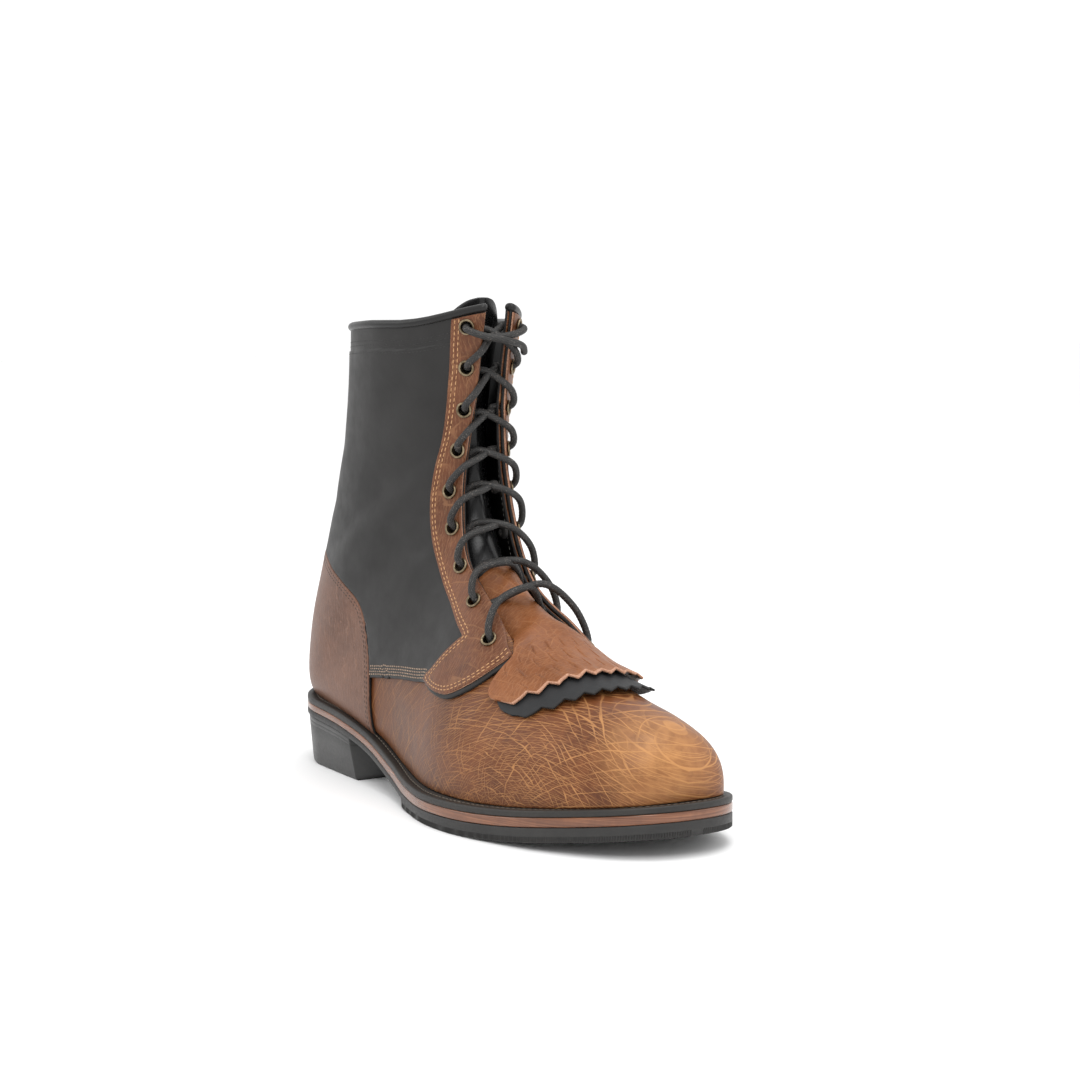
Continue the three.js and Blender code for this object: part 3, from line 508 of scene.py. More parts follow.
SHAFT_SKIN = smooth_leather("shaft_leather", (0.011, 0.0103, 0.0099), (0.019, 0.0178, 0.0172), 0.42, 0.56)
BLACK_SKIN = smooth_leather("trim_leather", (0.006, 0.0058, 0.0057), (0.013, 0.0125, 0.0122), 0.3, 0.44)
TONGUE_SKIN = smooth_leather("tongue_leather", (0.004, 0.004, 0.0042), (0.008, 0.008, 0.0083), 0.2, 0.3)
UNDER_SKIN = smooth_leather("kiltie_under_leather", (0.011, 0.0115, 0.0125), (0.022, 0.023, 0.0245),
                            0.5, 0.64, 700, 0.00014)
LINING = smooth_leather("lining_leather", (0.34, 0.16, 0.06), (0.48, 0.25, 0.11), 0.6, 0.75, 600, 0.00012)
BLACK_LINING = smooth_leather("black_lining", (0.006, 0.006, 0.006), (0.012, 0.012, 0.012), 0.5, 0.65)
TAN_EDGE = raw_edge("tan_edge", (0.3, 0.13, 0.075), (0.55, 0.31, 0.2))
BLACK_EDGE = raw_edge("black_edge", (0.005, 0.0048, 0.0048), (0.014, 0.013, 0.0125))
TAN_THREAD = raw_edge("tan_thread", (0.36, 0.17, 0.07), (0.62, 0.37, 0.18))
WORN_THREAD = raw_edge("worn_thread", (0.16, 0.1, 0.075), (0.5, 0.37, 0.26))
PALE_THREAD = raw_edge("pale_thread", (0.6, 0.58, 0.55), (0.8, 0.78, 0.74))
BLACK_THREAD = raw_edge("black_thread", (0.01, 0.01, 0.01), (0.03, 0.029, 0.028))
WELT_THREAD = raw_edge("welt_thread", (0.05, 0.04, 0.03), (0.16, 0.13, 0.1))
INSOLE_SKIN = smooth_leather("insole_leather", (0.33, 0.19, 0.1), (0.47, 0.3, 0.17), 0.6, 0.75, 600, 0.00012)


def make_brass():
    n = Nodes("eyelet_brass")
    worn = n.noise(500, 4, 0.6)
    colour = n.ramp(worn, (0.3, (0.1, 0.075, 0.045)), (0.7, (0.3, 0.235, 0.15)))
    return n.finish(colour, n.ramp(worn, (0.3, 0.45), (0.7, 0.28)), n.bump(worn, 0.00005, 0.4), Metallic=0.95)


def make_lace():
    """Braid: strands cross in the lace map, u around and v along in lace widths."""
    n = Nodes("lace_cord")
    uv = n.add("ShaderNodeUVMap", uv_map="flow").outputs[0]
    split = n.add("ShaderNodeSeparateXYZ", {0: uv})
    turns = [n.math(kind, split.outputs[0], split.outputs[1]) for kind in ("ADD", "SUBTRACT")]
    left, right = [n.math("SINE", n.math("MULTIPLY", turn, 2 * math.pi), 0) for turn in turns]
    weave = n.math("MULTIPLY", left, right)
    flecks = n.ramp(n.noise(1500, 2, 0.5), (0.6, 0.0), (0.68, 1.0))
    # Painted shade and sheen: darker between the strands, lighter on their crests.
    ridge = n.math("ABSOLUTE", weave, 0)
    colour = n.ramp(ridge, (0.15, (0.0025, 0.0025, 0.0025)), (0.8, (0.032, 0.03, 0.028)))
    colour = n.mix(n.math("MULTIPLY", flecks, 0.5), colour, (0.2, 0.17, 0.15))
    normal = n.bump(n.noise(2600, 2, 0.5), 0.00008, 0.4)
    return n.finish(colour, 0.62, normal)


def make_sole_rubber(name, dark, light, low, high):
    n = Nodes(name)
    patches = n.noise(60, 5, 0.65)
    colour = n.ramp(patches, (0.3, dark), (0.7, light))
    scuffs = n.noise(700, 4, 0.65)
    rough = n.ramp(scuffs, (0.3, low), (0.7, high))
    return n.finish(colour, rough, n.bump(scuffs, 0.00008, 0.3))


def make_midsole():
    """Waxed leather edge: thin layers along the sole, orange brown."""
    n = Nodes("midsole_leather")
    layers = n.noise(1.0, 4, 0.6, 0.0, n.scaled((30, 30, 2200)))
    dark, mid, light = (0.09, 0.03, 0.013), (0.19, 0.07, 0.03), (0.29, 0.12, 0.055)
    colour = n.ramp(layers, (0.3, dark), (0.55, mid), (0.78, light))
    patches = n.noise(120, 4, 0.6)
    colour = n.mix(n.ramp(patches, (0.45, 0.0), (0.75, 0.5)), colour, (0.07, 0.026, 0.013))
    return n.finish(colour, 0.27, n.bump(layers, 0.00008, 0.3), Coat_Weight=0.25, Coat_Roughness=0.15)


BRASS = make_brass()
LACE_SKIN = make_lace()
RUBBER = make_sole_rubber("sole_rubber", (0.009, 0.0085, 0.008), (0.02, 0.0185, 0.017), 0.4, 0.6)
HEEL_SKIN = make_sole_rubber("heel_rubber", (0.016, 0.016, 0.015), (0.028, 0.027, 0.026), 0.36, 0.48)
WELT_SKIN = make_sole_rubber("welt_leather", (0.008, 0.007, 0.006), (0.02, 0.0165, 0.013), 0.45, 0.62)
MIDSOLE_SKIN = make_midsole()


# Meshes

def make_piece(name, points, faces, materials, nodes=(), indices=None, flow=None):
    """One object from points in millimetres; flow gives a map coordinate for each point."""
    mesh = bpy.data.meshes.new(name)
    mesh.from_pydata(((np.asarray(points) - SHIFT) * MM).tolist(), [], [tuple(map(int, f)) for f in faces])
    for material in materials:
        mesh.materials.append(material)
    if indices is not None:
        mesh.polygons.foreach_set("material_index", np.asarray(indices, np.int32))
    mesh.polygons.foreach_set("use_smooth", np.ones(len(mesh.polygons), bool))
    if flow is not None:
        layer = mesh.uv_layers.new(name="flow")
        corners = np.zeros(len(mesh.loops), np.int32)
        mesh.loops.foreach_get("vertex_index", corners)
        layer.data.foreach_set("uv", np.asarray(flow, np.float32)[corners].ravel())
    mesh.validate()
    mesh.update()
    obj = bpy.data.objects.new(name, mesh)
    bpy.context.scene.collection.objects.link(obj)
    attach(obj, "root")
    if nodes:
        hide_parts(*nodes)
    return obj


def form_grid(rows, angles):
    """Triangles over the whole form, closed around and across the toe's small first ring."""
    count = len(angles)
    places = np.array([(t, a) for t in rows for a in angles])
    tris = []
    for i in range(len(rows) - 1):
        for k in range(count):
            a, b = i * count + k, i * count + (k + 1) % count
            tris += [(a, b, b + count), (a, b + count, a + count)]
    half = count // 2
    for k in range(half):
        a, b, c, d = k, k + 1, count - k - 1, (count - k) % count
        tris += [tri for tri in ((b, a, d), (b, d, c)) if len(set(tri)) == 3]
    return places, np.array(tris)


def halfway(p, q, share):
    """Place between two places, across the seam at the back as well."""
    turn = q[1] - p[1]
    if turn > math.pi:
        turn -= 2 * math.pi
    if turn < -math.pi:
        turn += 2 * math.pi
    return (p[0] + (q[0] - p[0]) * share, p[1] + turn * share)


def cut(places, tris, values, both=False):
    """Cuts triangles along value 0 and keeps the positive side, or both sides."""
    values = np.where(np.abs(values) < 1e-4, 1e-4, values)
    positive = values > 0
    inside = positive[tris].sum(1)
    kept = [tuple(t) for t in tris[inside == 3]]
    if both:
        kept += [tuple(t) for t in tris[inside == 0]]
    new, made = [], {}

    def crossing(i, k):
        key = (min(i, k), max(i, k))
        if key not in made:
            i, k = key
            made[key] = len(places) + len(new)
            new.append(halfway(places[i], places[k], values[i] / (values[i] - values[k])))
        return made[key]

    for tri in tris[(inside == 1) | (inside == 2)]:
        lone = [k for k in range(3) if positive[tri[k]] != (inside_count(positive, tri) == 2)][0]
        a, b, c = tri[lone], tri[(lone + 1) % 3], tri[(lone + 2) % 3]
        ab, ac = crossing(a, b), crossing(a, c)
        if positive[a] or both:
            kept.append((a, ab, ac))
        if not positive[a] or both:
            kept += [(ab, b, c), (ab, c, ac)]
    places = np.vstack([places, new]) if new else places
    tris = np.array(kept)
    used = np.unique(tris)
    index = np.full(len(places), -1)
    index[used] = np.arange(len(used))
    return places[used], index[tris]


def inside_count(positive, tri):
    return int(positive[tri[0]]) + int(positive[tri[1]]) + int(positive[tri[2]])


def contour(places, tris, values):
    """Ordered lines of places along value 0."""
    values = np.where(np.abs(values) < 1e-5, 1e-5, values)
    positive = values > 0
    count = positive[tris].sum(1)
    neighbours, spots = {}, {}
    for tri in tris[(count == 1) | (count == 2)]:
        ends = []
        for i, k in ((tri[0], tri[1]), (tri[1], tri[2]), (tri[2], tri[0])):
            if positive[i] != positive[k]:
                key = (min(i, k), max(i, k))
                spots[key] = halfway(places[key[0]], places[key[1]],
                                     values[key[0]] / (values[key[0]] - values[key[1]]))
                ends.append(key)
        neighbours.setdefault(ends[0], []).append(ends[1])
        neighbours.setdefault(ends[1], []).append(ends[0])
    lines, seen = [], set()
    starts = [k for k, v in neighbours.items() if len(v) == 1] + list(neighbours)
    for start in starts:
        if start in seen:
            continue
        line, here = [], start
        while here is not None:
            seen.add(here)
            line.append(spots[here])
            here = next((k for k in neighbours[here] if k not in seen), None)
        if len(line) > 3:
            lines.append(np.array(line))
    return lines


FORM_ROWS = np.concatenate([
    np.arange(0, 2, 0.1), np.arange(2, 9, 0.14), np.arange(9, LAST_ROW + 0.01, 0.125),
])
HALF_ANGLES = np.unique(np.concatenate([
    np.linspace(0, math.pi, 76),
    math.pi - np.arccos(np.linspace(0.06, 0.97, 14) ** 4),
]))
FORM_ANGLES = np.concatenate([HALF_ANGLES, -HALF_ANGLES[1:-1][::-1]])
GRID = form_grid(FORM_ROWS, FORM_ANGLES)


def trimmed(fields, levels=(), extra=()):
    """Part of the form's grid inside all fields, with edge loops at the given distances from its edges."""
    places, tris = GRID
    for field in fields:
        places, tris = cut(places, tris, field(form_point(*places.T)))
    edge = lambda: np.min([field(form_point(*places.T)) for field in fields], axis=0)
    for level in levels:
        places, tris = cut(places, tris, edge() - level, True)
    for field in extra:
        places, tris = cut(places, tris, field(form_point(*places.T)), True)
    return places, tris, edge()


def rounding(distance, radius):
    """Depth by which an edge of that radius falls away at a distance from the rim."""
    left = radius - np.clip(distance, 0, radius)
    return radius - np.sqrt(np.maximum(radius**2 - left**2, 0))


def flow_map(points):
    """Map whose first axis sweeps over the toe and the vamp, round a line below the ball of the foot."""
    rel = points - np.array([-14.0, -82.0, -6.0])
    radius = np.sqrt((rel[:, 0] * 0.7) ** 2 + rel[:, 1] ** 2 + (rel[:, 2] * 1.3) ** 2)
    turn = np.arctan2(rel[:, 2] * 1.3 + 0.25 * rel[:, 0], -rel[:, 1])
    return np.stack([turn * 46, radius], -1)


def shell(name, sheet, outer, inner, materials, nodes=(), radius=0.5, relief=None, facing=None):
    """Leather of even thickness over part of the form: face, flesh side, cut edge, second flesh side."""
    places, tris, distance = sheet
    t, angle = places.T
    out = outer - rounding(distance, radius)
    if relief is not None:
        out = out + relief(form_point(t, angle), distance)
    top = offset_point(t, angle, out)
    low = offset_point(t, angle, np.full(len(t), float(inner)))
    count = len(t)
    first = tris[0]
    outward = np.cross(top[first[1]] - top[first[0]], top[first[2]] - top[first[0]])
    if outward @ form_normal(t, angle)[first[0]] < 0:
        tris = tris[:, ::-1]
    directed = {}
    for a, b, c in tris:
        for edge in ((a, b), (b, c), (c, a)):
            directed[edge] = True
    rim = [(b, a, a + count, b + count) for a, b in directed if (b, a) not in directed]
    faces = [tuple(f) for f in tris] + [tuple(f[::-1] + count) for f in tris] + rim
    flesh = np.ones(len(tris), int)
    if facing is not None:
        flesh[facing(low[tris].mean(1)) > 0] = 3
    indices = [0] * len(tris) + list(flesh) + [2] * len(rim)
    points = np.vstack([top, low])
    return make_piece(name, points, faces, materials, nodes, indices, flow_map(points))


# Outlines of the leathers in side view

def polygon(*parts):
    return np.vstack([np.atleast_2d(p) for p in parts])


def wing_line(margin, start=0):
    return side_line(EYESTAY_WING[start:], 6) - [margin * 0.6, margin * 0.8]


wing_last = wing_line(QUARTER_EDGE)[-1]
QUARTER_OUTLINE = polygon((FAR, side_line(VAMP_LINE)[0, 1]), side_line(VAMP_LINE), wing_line(QUARTER_EDGE, 2),
                          (wing_last[0], FAR), (FAR, FAR))
EYESTAY_OUTLINE = polygon((wing_line(0)[-1, 0], FAR), (side_line(EYESTAY_BACK)[0, 0], FAR),
                          side_line(EYESTAY_BACK), side_line(EYESTAY_WING[:2], 1), wing_line(0, 1))
COUNTER_OUTLINE = polygon(side_line(COUNTER_FRONT), (FAR, side_line(COUNTER_FRONT)[-1, 1]))

hole_axes = [(form_point(np.array(t), np.array(a)), form_normal(np.array(t), np.array(a)))
             for t, angles in EYELETS for a in angles.values()]


def off_holes(points):
    best = np.full(len(points), 1e3)
    for centre, axis in hole_axes:
        rel = points - centre
        side = rel - (rel @ axis)[:, None] * axis
        best = np.minimum(best, np.linalg.norm(side, axis=1) + 50 * (np.abs(rel @ axis) > 12))
    return best - EYELET_BARREL / 2


over_welt = lambda p: p[:, 2] - welt_top(HALF - p[:, 1]) - 0.05
under_collar = lambda p: collar_height(p[:, 1], EDGE_DROP) - p[:, 2]
under_binding = lambda p: collar_height(p[:, 1], EDGE_DROP + BINDING_COVER) - p[:, 2]
vamp_opening = lambda p: outside_throat(p, VAMP_THROAT_END)
facing_opening = lambda p: outside_throat(p, FACING_END)
in_quarter = lambda p: from_side(p, QUARTER_OUTLINE)
in_eyestay = lambda p: from_side(p, EYESTAY_OUTLINE)
in_counter = lambda p: from_side(p, COUNTER_OUTLINE)

# Creases: side view line, depth, half width
CREASES = [
    ([[0.66, 0.17], [0.672, 0.215], [0.69, 0.262]], 0.35, 3.2),
    ([[0.7, 0.13], [0.712, 0.18], [0.735, 0.228]], 0.28, 3.6),
    ([[0.36, 0.47], [0.4, 0.45], [0.437, 0.46]], 0.5, 4.0),
    ([[0.33, 0.55], [0.38, 0.525], [0.43, 0.54]], 0.4, 4.4),
    ([[0.08, 0.44], [0.16, 0.47], [0.26, 0.46]], 0.35, 5.0),
    ([[0.1, 0.62], [0.2, 0.6], [0.33, 0.63]], 0.3, 7.0),
]


def creases(points, distance):
    total = np.zeros(len(points))
    for rows, depth, width in CREASES:
        line = side_line(rows, 5)
        best = np.full(len(points), 1e9)
        for a, b in zip(line[:-1], line[1:]):
            rel, along = points[:, 1:] - a, b - a
            u = np.clip((rel @ along) / (along @ along), 0, 1)
            best = np.minimum(best, np.hypot(*(rel - u[:, None] * along).T))
        total -= depth * np.exp(-((best / width) ** 2))
    return total


PANEL_DROP = 13.5
PANEL_RISE = 0.55
LINING_SPLIT = 80.0


def under_panel(points):
    """Distance below the main shaft panel's top edge, rounded off at the back seam."""
    drop = collar_height(points[:, 1], PANEL_DROP) - points[:, 2]
    back = np.clip((points[:, 1] - 92) / 12, 0, 1) ** 2
    return drop - 5 * back


def quarter_relief(points, distance):
    return creases(points, distance) + PANEL_RISE * np.clip(under_panel(points) / 0.3, 0, 1)


def build_leathers():
    lining = [VAMP, LINING, BLACK_EDGE, BLACK_LINING]
    upper = trimmed([over_welt, under_collar, vamp_opening, off_holes], (0.25, 0.8))
    shell("upper_leather", upper, 0.0, -WALL, lining, ("upper",), 0.7, creases,
          lambda p: p[:, 2] - LINING_SPLIT)
    off_counter = lambda p: -in_counter(p) - 0.1
    quarters = trimmed([over_welt, under_collar, facing_opening, off_holes, in_quarter, off_counter],
                       (0.2, 0.6), (under_panel, lambda p: under_panel(p) - 0.3))
    shell("shaft_leathers", quarters, QUARTER_OUT, QUARTER_IN, [SHAFT_SKIN, BLACK_LINING, BLACK_EDGE],
          ("quarters",), 0.5, quarter_relief)
    counter = trimmed([over_welt, in_counter], (0.25, 0.8))
    shell("counter_leather", counter, COUNTER_OUT, QUARTER_IN, [COUNTER_SKIN, BLACK_LINING, BLACK_EDGE],
          ("counter",), 0.7, creases)
    for name, side in (("eyestay_lateral", 1), ("eyestay_medial", -1)):
        on_side = lambda p, side=side: -side * p[:, 0] - 1.0
        stay = trimmed([in_eyestay, under_binding, facing_opening, off_holes, on_side], (0.2, 0.6))
        shell(name + "_leather", stay, EYESTAY_OUT, EYESTAY_IN, [EYESTAY_SKIN, BLACK_LINING, TAN_EDGE],
              (name,), 0.5)
        stitch_lines(stay, in_eyestay, (1.6, 3.1), EYESTAY_OUT, TAN_THREAD, name + "_stitches", side)
    return upper, quarters, counter


# Thread

def at_length(walked, rows, where):
    """Rows of a table between rows, at lengths walked along it."""
    return np.stack([np.interp(where, walked, column) for column in rows.T], -1)


def tube_stitches(name, lines, material, pitch=2.6, length=1.9, radius=0.26):
    """Short capsules along lines of (points, normals)."""
    rings = [(-1.0, 0.0), (-0.8, 0.75), (-0.3, 1.0), (0.3, 1.0), (0.8, 0.75), (1.0, 0.0)]
    points, faces = [], []
    for line, normals in lines:
        steps = np.linalg.norm(np.diff(line, axis=0), axis=1)
        walked = np.concatenate([[0], np.cumsum(steps)])
        total = walked[-1]
        if total < 2 * pitch:
            continue
        for s in np.arange(pitch * 0.6, total - pitch * 0.5, pitch):
            ends = [at_length(walked, line, s + d) for d in (-length / 2, length / 2)]
            normal = unit(at_length(walked, normals, s))
            middle, along = (ends[0] + ends[1]) / 2, unit(ends[1] - ends[0])
            across = np.cross(along, normal)
            base = len(points)
            for where, size in rings:
                for k in range(6):
                    turn = k * math.pi / 3
                    sink = 0.12 * abs(where)
                    around = across * math.cos(turn) + normal * math.sin(turn) * 0.8
                    centre = middle + along * where * length / 2 - normal * sink
                    points.append(centre + around * radius * max(size, 0.25))
            for r in range(len(rings) - 1):
                for k in range(6):
                    a, b = base + r * 6 + k, base + r * 6 + (k + 1) % 6
                    faces.append((a, b, b + 6, a + 6))
            faces.append(tuple(base + k for k in range(6))[::-1])
            faces.append(tuple(base + (len(rings) - 1) * 6 + k for k in range(6)))
    if points:
        make_piece(name, np.array(points), faces, [material])


def lines_on(sheet, value, height):
    """Lines on a sheet along value 0, lifted by a height over the form."""
    places, tris, _ = sheet
    found = []
    for line in contour(places, tris, value(form_point(*places.T))):
        t, angle = line.T
        found.append((offset_point(t, angle, np.full(len(t), height)), form_normal(t, angle)))
    return found


def stitch_lines(sheet, field, distances, height, material, name, side):
    lines = []
    for distance in distances:
        for line, normals in lines_on(sheet, lambda p: field(p) - distance, height + STITCH_LIFT):
            below_binding = line[:, 2] < collar_height(line[:, 1], EDGE_DROP + BINDING_COVER)
            keep = below_binding & (line[:, 1] > PANEL_STITCH_FRONT)
            if keep.sum() > 4:
                lines.append((line[keep], normals[keep]))
    tube_stitches(name, lines, material)


def build_stitches(upper, quarters, counter):
    rows = []
    for distance in (1.7, 3.0, 4.3, 5.6):
        height = QUARTER_OUT + PANEL_RISE + 2 * STITCH_LIFT
        for line, normals in lines_on(quarters, lambda p: in_quarter(p) - distance, height):
            keep = (line[:, 2] < COUNTER_STITCH_TOP) & (line[:, 1] > COUNTER_STITCH_FRONT)
            if keep.sum() > 4:
                rows.append((line[keep], normals[keep]))
    tube_stitches("quarter_stitches", rows, WORN_THREAD, 1.9, 1.1, 0.36)
    rows = []
    for distance in (1.8, 3.6):
        rows += lines_on(counter, lambda p: in_counter(p) - distance, COUNTER_OUT + STITCH_LIFT)
    tube_stitches("counter_stitches", rows, BLACK_THREAD, 2.4, 1.8, 0.22)
    rows = []
    for drop in (9.6, 11.6):
        below_collar = lambda p: collar_height(p[:, 1], drop) - p[:, 2]
        rows += lines_on(quarters, below_collar, QUARTER_OUT + STITCH_LIFT)
    rows += lines_on(quarters, lambda p: under_panel(p) - 1.6, QUARTER_OUT + PANEL_RISE + STITCH_LIFT)
    tube_stitches("collar_stitches", rows, BLACK_THREAD, 2.2, 1.6, 0.2)
    rows = []
    for line, normals in lines_on(upper, lambda p: vamp_opening(p) - 3.4, -WALL - STITCH_LIFT):
        keep = line[:, 2] > 95
        if keep.sum() > 4:
            rows.append((line[keep], -normals[keep]))
    tube_stitches("facing_inner_stitches", rows, PALE_THREAD, 2.6, 1.9, 0.24)


# Collar binding: a rolled edge swept along the collar

def build_binding():
    """Sections across the collar, from the outer side's facing round the back to the inner side's."""
    profile = []
    for k in range(20):
        turn = 2 * math.pi * k / 20
        across = 2.5 * np.sign(math.cos(turn)) * abs(math.cos(turn)) ** 0.8
        up = 2.0 * math.sin(turn)
        profile.append((across, up))
    stations = []
    for side in (1, -1):
        for share in np.linspace(0, 1, 70):
            stations.append((side, share))
    outer = [s for s in stations if s[0] == 1]
    inner = [s for s in stations if s[0] == -1][::-1][1:]
    points = []
    for side, share in outer + inner:
        t = 20.4
        for _ in range(12):
            start = abs(beside_edge(t, side, 0.4))
            angle = side * (start + (math.pi - start) * share)
            p = form_point(np.array(t), np.array(angle))
            miss = collar_height(p[1], BINDING_MIDDLE) - p[2]
            q = form_point(np.array(t + 0.05), np.array(angle))
            t = float(np.clip(t + miss * 0.05 / max(q[2] - p[2], 0.05), 17, LAST_ROW))
        normal = form_normal(np.array(t), np.array(angle))
        flat = unit(np.array([normal[0], normal[1], 0.0]))
        centre = form_point(np.array(t), np.array(angle)) + flat * 0.1
        points.append([centre + flat * a + np.array([0, 0, 1.0]) * u for a, u in profile])
    rings = np.array(points)
    count, around = rings.shape[:2]
    faces = []
    for i in range(count - 1):
        for k in range(around):
            a, b = i * around + k, i * around + (k + 1) % around
            faces.append((a, a + around, b + around, b))
    verts = rings.reshape(-1, 3)
    for end, order in ((0, 1), (count - 1, -1)):
        ring = rings[end]
        middle = ring.mean(0)
        push = unit(ring.mean(0) - rings[1 if end == 0 else count - 2].mean(0))
        verts = np.vstack([verts, middle + (ring - middle) * 0.6 + push * 0.8, middle + push * 1.0])
        base = len(verts) - around - 1
        for k in range(around):
            a, b = end * around + k, end * around + (k + 1) % around
            faces.append((a, b, base + (k + 1) % around, base + k)[::order])
            faces.append((base + k, base + (k + 1) % around, len(verts) - 1)[::order])
    make_piece("collar_roll", verts, faces, [BLACK_SKIN], ("collar_binding",))


# Strips in front of the leg

TONGUE_ROWS = [
    [5.7, 5.7, 0.28, -3.2, -3.2], [6.2, 6.2, 0.31, -3.8, -3.8], [6.6, 6.6, 0.34, -6.5, -6.5],
    [7.1, 7.1, 0.36, -11, -11], [7.7, 7.7, 0.38, -13.4, -13.4], [8.5, 8.5, 0.42, -14.2, -14.2],
    [10, 10, 0.48, -14.2, -14.2], [12, 12, 0.5, -14.2, -14.2], [15, 15, 0.5, -14.2, -14.2],
    [17.5, 17.5, 0.48, -14.2, -14.2], [19.0, 19.0, 0.37, -14.2, -14.2], [19.7, 19.7, 0.27, -14.2, -14.2],
    [20.15, 20.15, 0.2, -14.2, -14.2], [20.4, 20.4, 0.13, -14.2, -14.2], [20.5, 20.5, 0.05, -14.2, -14.2],
]
KILTIE_ROWS = [
    [5.12, 5.95, 0.48, 3.6, 0], [5.55, 6.1, 0.49, 3.2, 0], [6.0, 6.26, 0.5, 2, 0], [6.39, 6.4, 0.47, 0.6, 0],
    [6.5, 6.46, 0.32, 0.3, 0], [6.64, 6.6, 0.28, 0, -0.3], [6.8, 6.78, 0.25, -1, -2.4],
    [7.0, 7.0, 0.24, -3, -8], [7.4, 7.4, 0.3, -6.5, -12.5], [8.0, 8.0, 0.32, -9.5, -13.2],
    [8.75, 8.75, 0.31, -11.2, -13.6],
]
KILTIE_UNDER_ROWS = [
    [4.62, 5.7, 0.49, 2.5, 0], [5.2, 5.9, 0.5, 2.6, 0], [5.9, 6.15, 0.48, 2, 0], [6.35, 6.38, 0.42, 0.5, 0],
]


def from_middle(t, angle, height):
    """Points over the form along its own normals, and under it along the middle's, which never cross."""
    over = offset_point(t, angle, np.maximum(height, 0))
    return over + form_normal(t, np.zeros_like(t)) * np.minimum(height, 0)[..., None]


def strip(name, rows, width, top, thickness, materials, nodes, columns, lengthwise,
          ragged=None, folds=None):
    """Strip over or under the form's front, as in the solids, with an optional ragged front edge and folds.

    The folds give heights and how far the strip reaches sideways.
    """
    rows = np.array(rows, float)
    along = catmull(rows, np.linspace(0, len(rows) - 1, lengthwise))
    shares = np.linspace(-1, 1, columns)
    s, i = np.meshgrid(shares, np.arange(lengthwise))
    middle, sides, half, crest, side = (along[i, k] for k in range(5))
    t = middle + (sides - middle) * (1 - np.sqrt(1 - s**2))
    if ragged is not None:
        fade = np.clip(1 - i / (lengthwise * 0.12), 0, 1)
        t = t + ragged(s) * fade
    height = top + side + (crest - side) * (1 - s**2)
    out = half * width * s
    if folds is not None:
        lift, reach = folds(s, i / (lengthwise - 1))
        height = height + lift
        out = out * reach
    column = np.arange(columns)
    from_side_edge = np.minimum(column, column[::-1])[None, :]
    rim = np.minimum(np.minimum(i, lengthwise - 1 - i), from_side_edge)
    drop = np.where(rim == 0, thickness * 0.35, np.where(rim == 1, thickness * 0.06, 0))
    angle = angle_for_width(t, out)
    upper = from_middle(t, angle, height - drop).reshape(-1, 3)
    lower = from_middle(t, angle, height - thickness).reshape(-1, 3)
    count = len(upper)
    faces, indices = [], []
    for r in range(lengthwise - 1):
        for c in range(columns - 1):
            a = r * columns + c
            quad = (a, a + 1, a + columns + 1, a + columns)
            faces += [quad[::-1], tuple(q + count for q in quad)]
            indices += [2 if ragged is not None and r < 2 else 0, 1]
    ring = [c for c in range(columns)] + [r * columns + columns - 1 for r in range(1, lengthwise)]
    ring += [(lengthwise - 1) * columns + c for c in range(columns - 2, -1, -1)]
    ring += [r * columns for r in range(lengthwise - 2, 0, -1)]
    for a, b in zip(ring, ring[1:] + ring[:1]):
        faces.append((a, b, b + count, a + count))
        indices.append(2)
    points = np.vstack([upper, lower])
    mid = (lengthwise // 2) * columns + columns // 2
    facing = np.cross(upper[mid + 1] - upper[mid], upper[mid + columns] - upper[mid])
    if facing @ form_normal(t, angle).reshape(-1, 3)[mid] > 0:
        faces = [f[::-1] for f in faces]
    return make_piece(name, points, faces, materials, nodes, indices, flow_map(points))


def pinking(teeth, depth, lead):
    """Saw teeth: a long slanted edge and a short step."""
    def shape(s):
        phase = ((s + 1) / 2 * teeth) % 1.0
        wave = np.where(phase < lead, phase / lead, (1 - phase) / (1 - lead))
        return depth * (1 - wave)
    return shape


def under_folds(s, along):
    """Stiff leather: the inner end stands off the vamp and reaches less far down."""
    inner = np.clip(-s, 0, 1)
    fan = np.clip(1 - along / 0.9, 0, 1)
    return 5.5 * fan * inner**2, 1 - 0.1 * fan * inner


def kiltie_folds(s, along):
    """Shallow waves and short pressed lines that fan out from the neck."""
    fan = np.clip(1 - along / 0.42, 0, 1)
    waves = fan * (0.2 * np.sin(s * 17 + 0.6) * np.exp(-s**2) + 0.12 * np.sin(s * 41 + 2)) + 0.2 * fan
    lines = np.zeros_like(waves)
    for first, low, high in ((-0.78, 0.05, 0.14), (-0.68, 0.14, 0.235), (-0.74, 0.235, 0.31)):
        for place in np.arange(first, 0.8, 0.19):
            ends = np.clip((along - low) / 0.02, 0, 1) * np.clip((high - along) / 0.02, 0, 1)
            lines += ends * np.exp(-(((s - place) / 0.009) ** 2))
    inner = np.clip(-s, 0, 1)
    return waves - 0.6 * lines + 5.5 * fan * inner**2, 1 - 0.1 * fan * inner


def build_strips():
    strip("tongue_leather", TONGUE_ROWS, TONGUE_WIDTH, 0, TONGUE, [TONGUE_SKIN, BLACK_LINING, BLACK_EDGE],
          ("tongue",), 49, 150)
    under = KILTIE_LIFT + KILTIE_UNDER
    over = under + KILTIE_LIFT + KILTIE
    strip("kiltie_under_leather", KILTIE_UNDER_ROWS, KILTIE_WIDTH, under - 0.3, KILTIE_UNDER,
          [UNDER_SKIN, UNDER_SKIN, BLACK_EDGE], ("kiltie_under",), 181, 60,
          pinking(9, 0.15, 0.74), under_folds)
    strip("kiltie_leather", KILTIE_ROWS, KILTIE_WIDTH, over - 0.5, KILTIE,
          [KILTIE_SKIN, KILTIE_SKIN, TAN_EDGE], ("kiltie_top",), 281, 156,
          pinking(9, 0.15, 0.74), kiltie_folds)


# Eyelets and lace

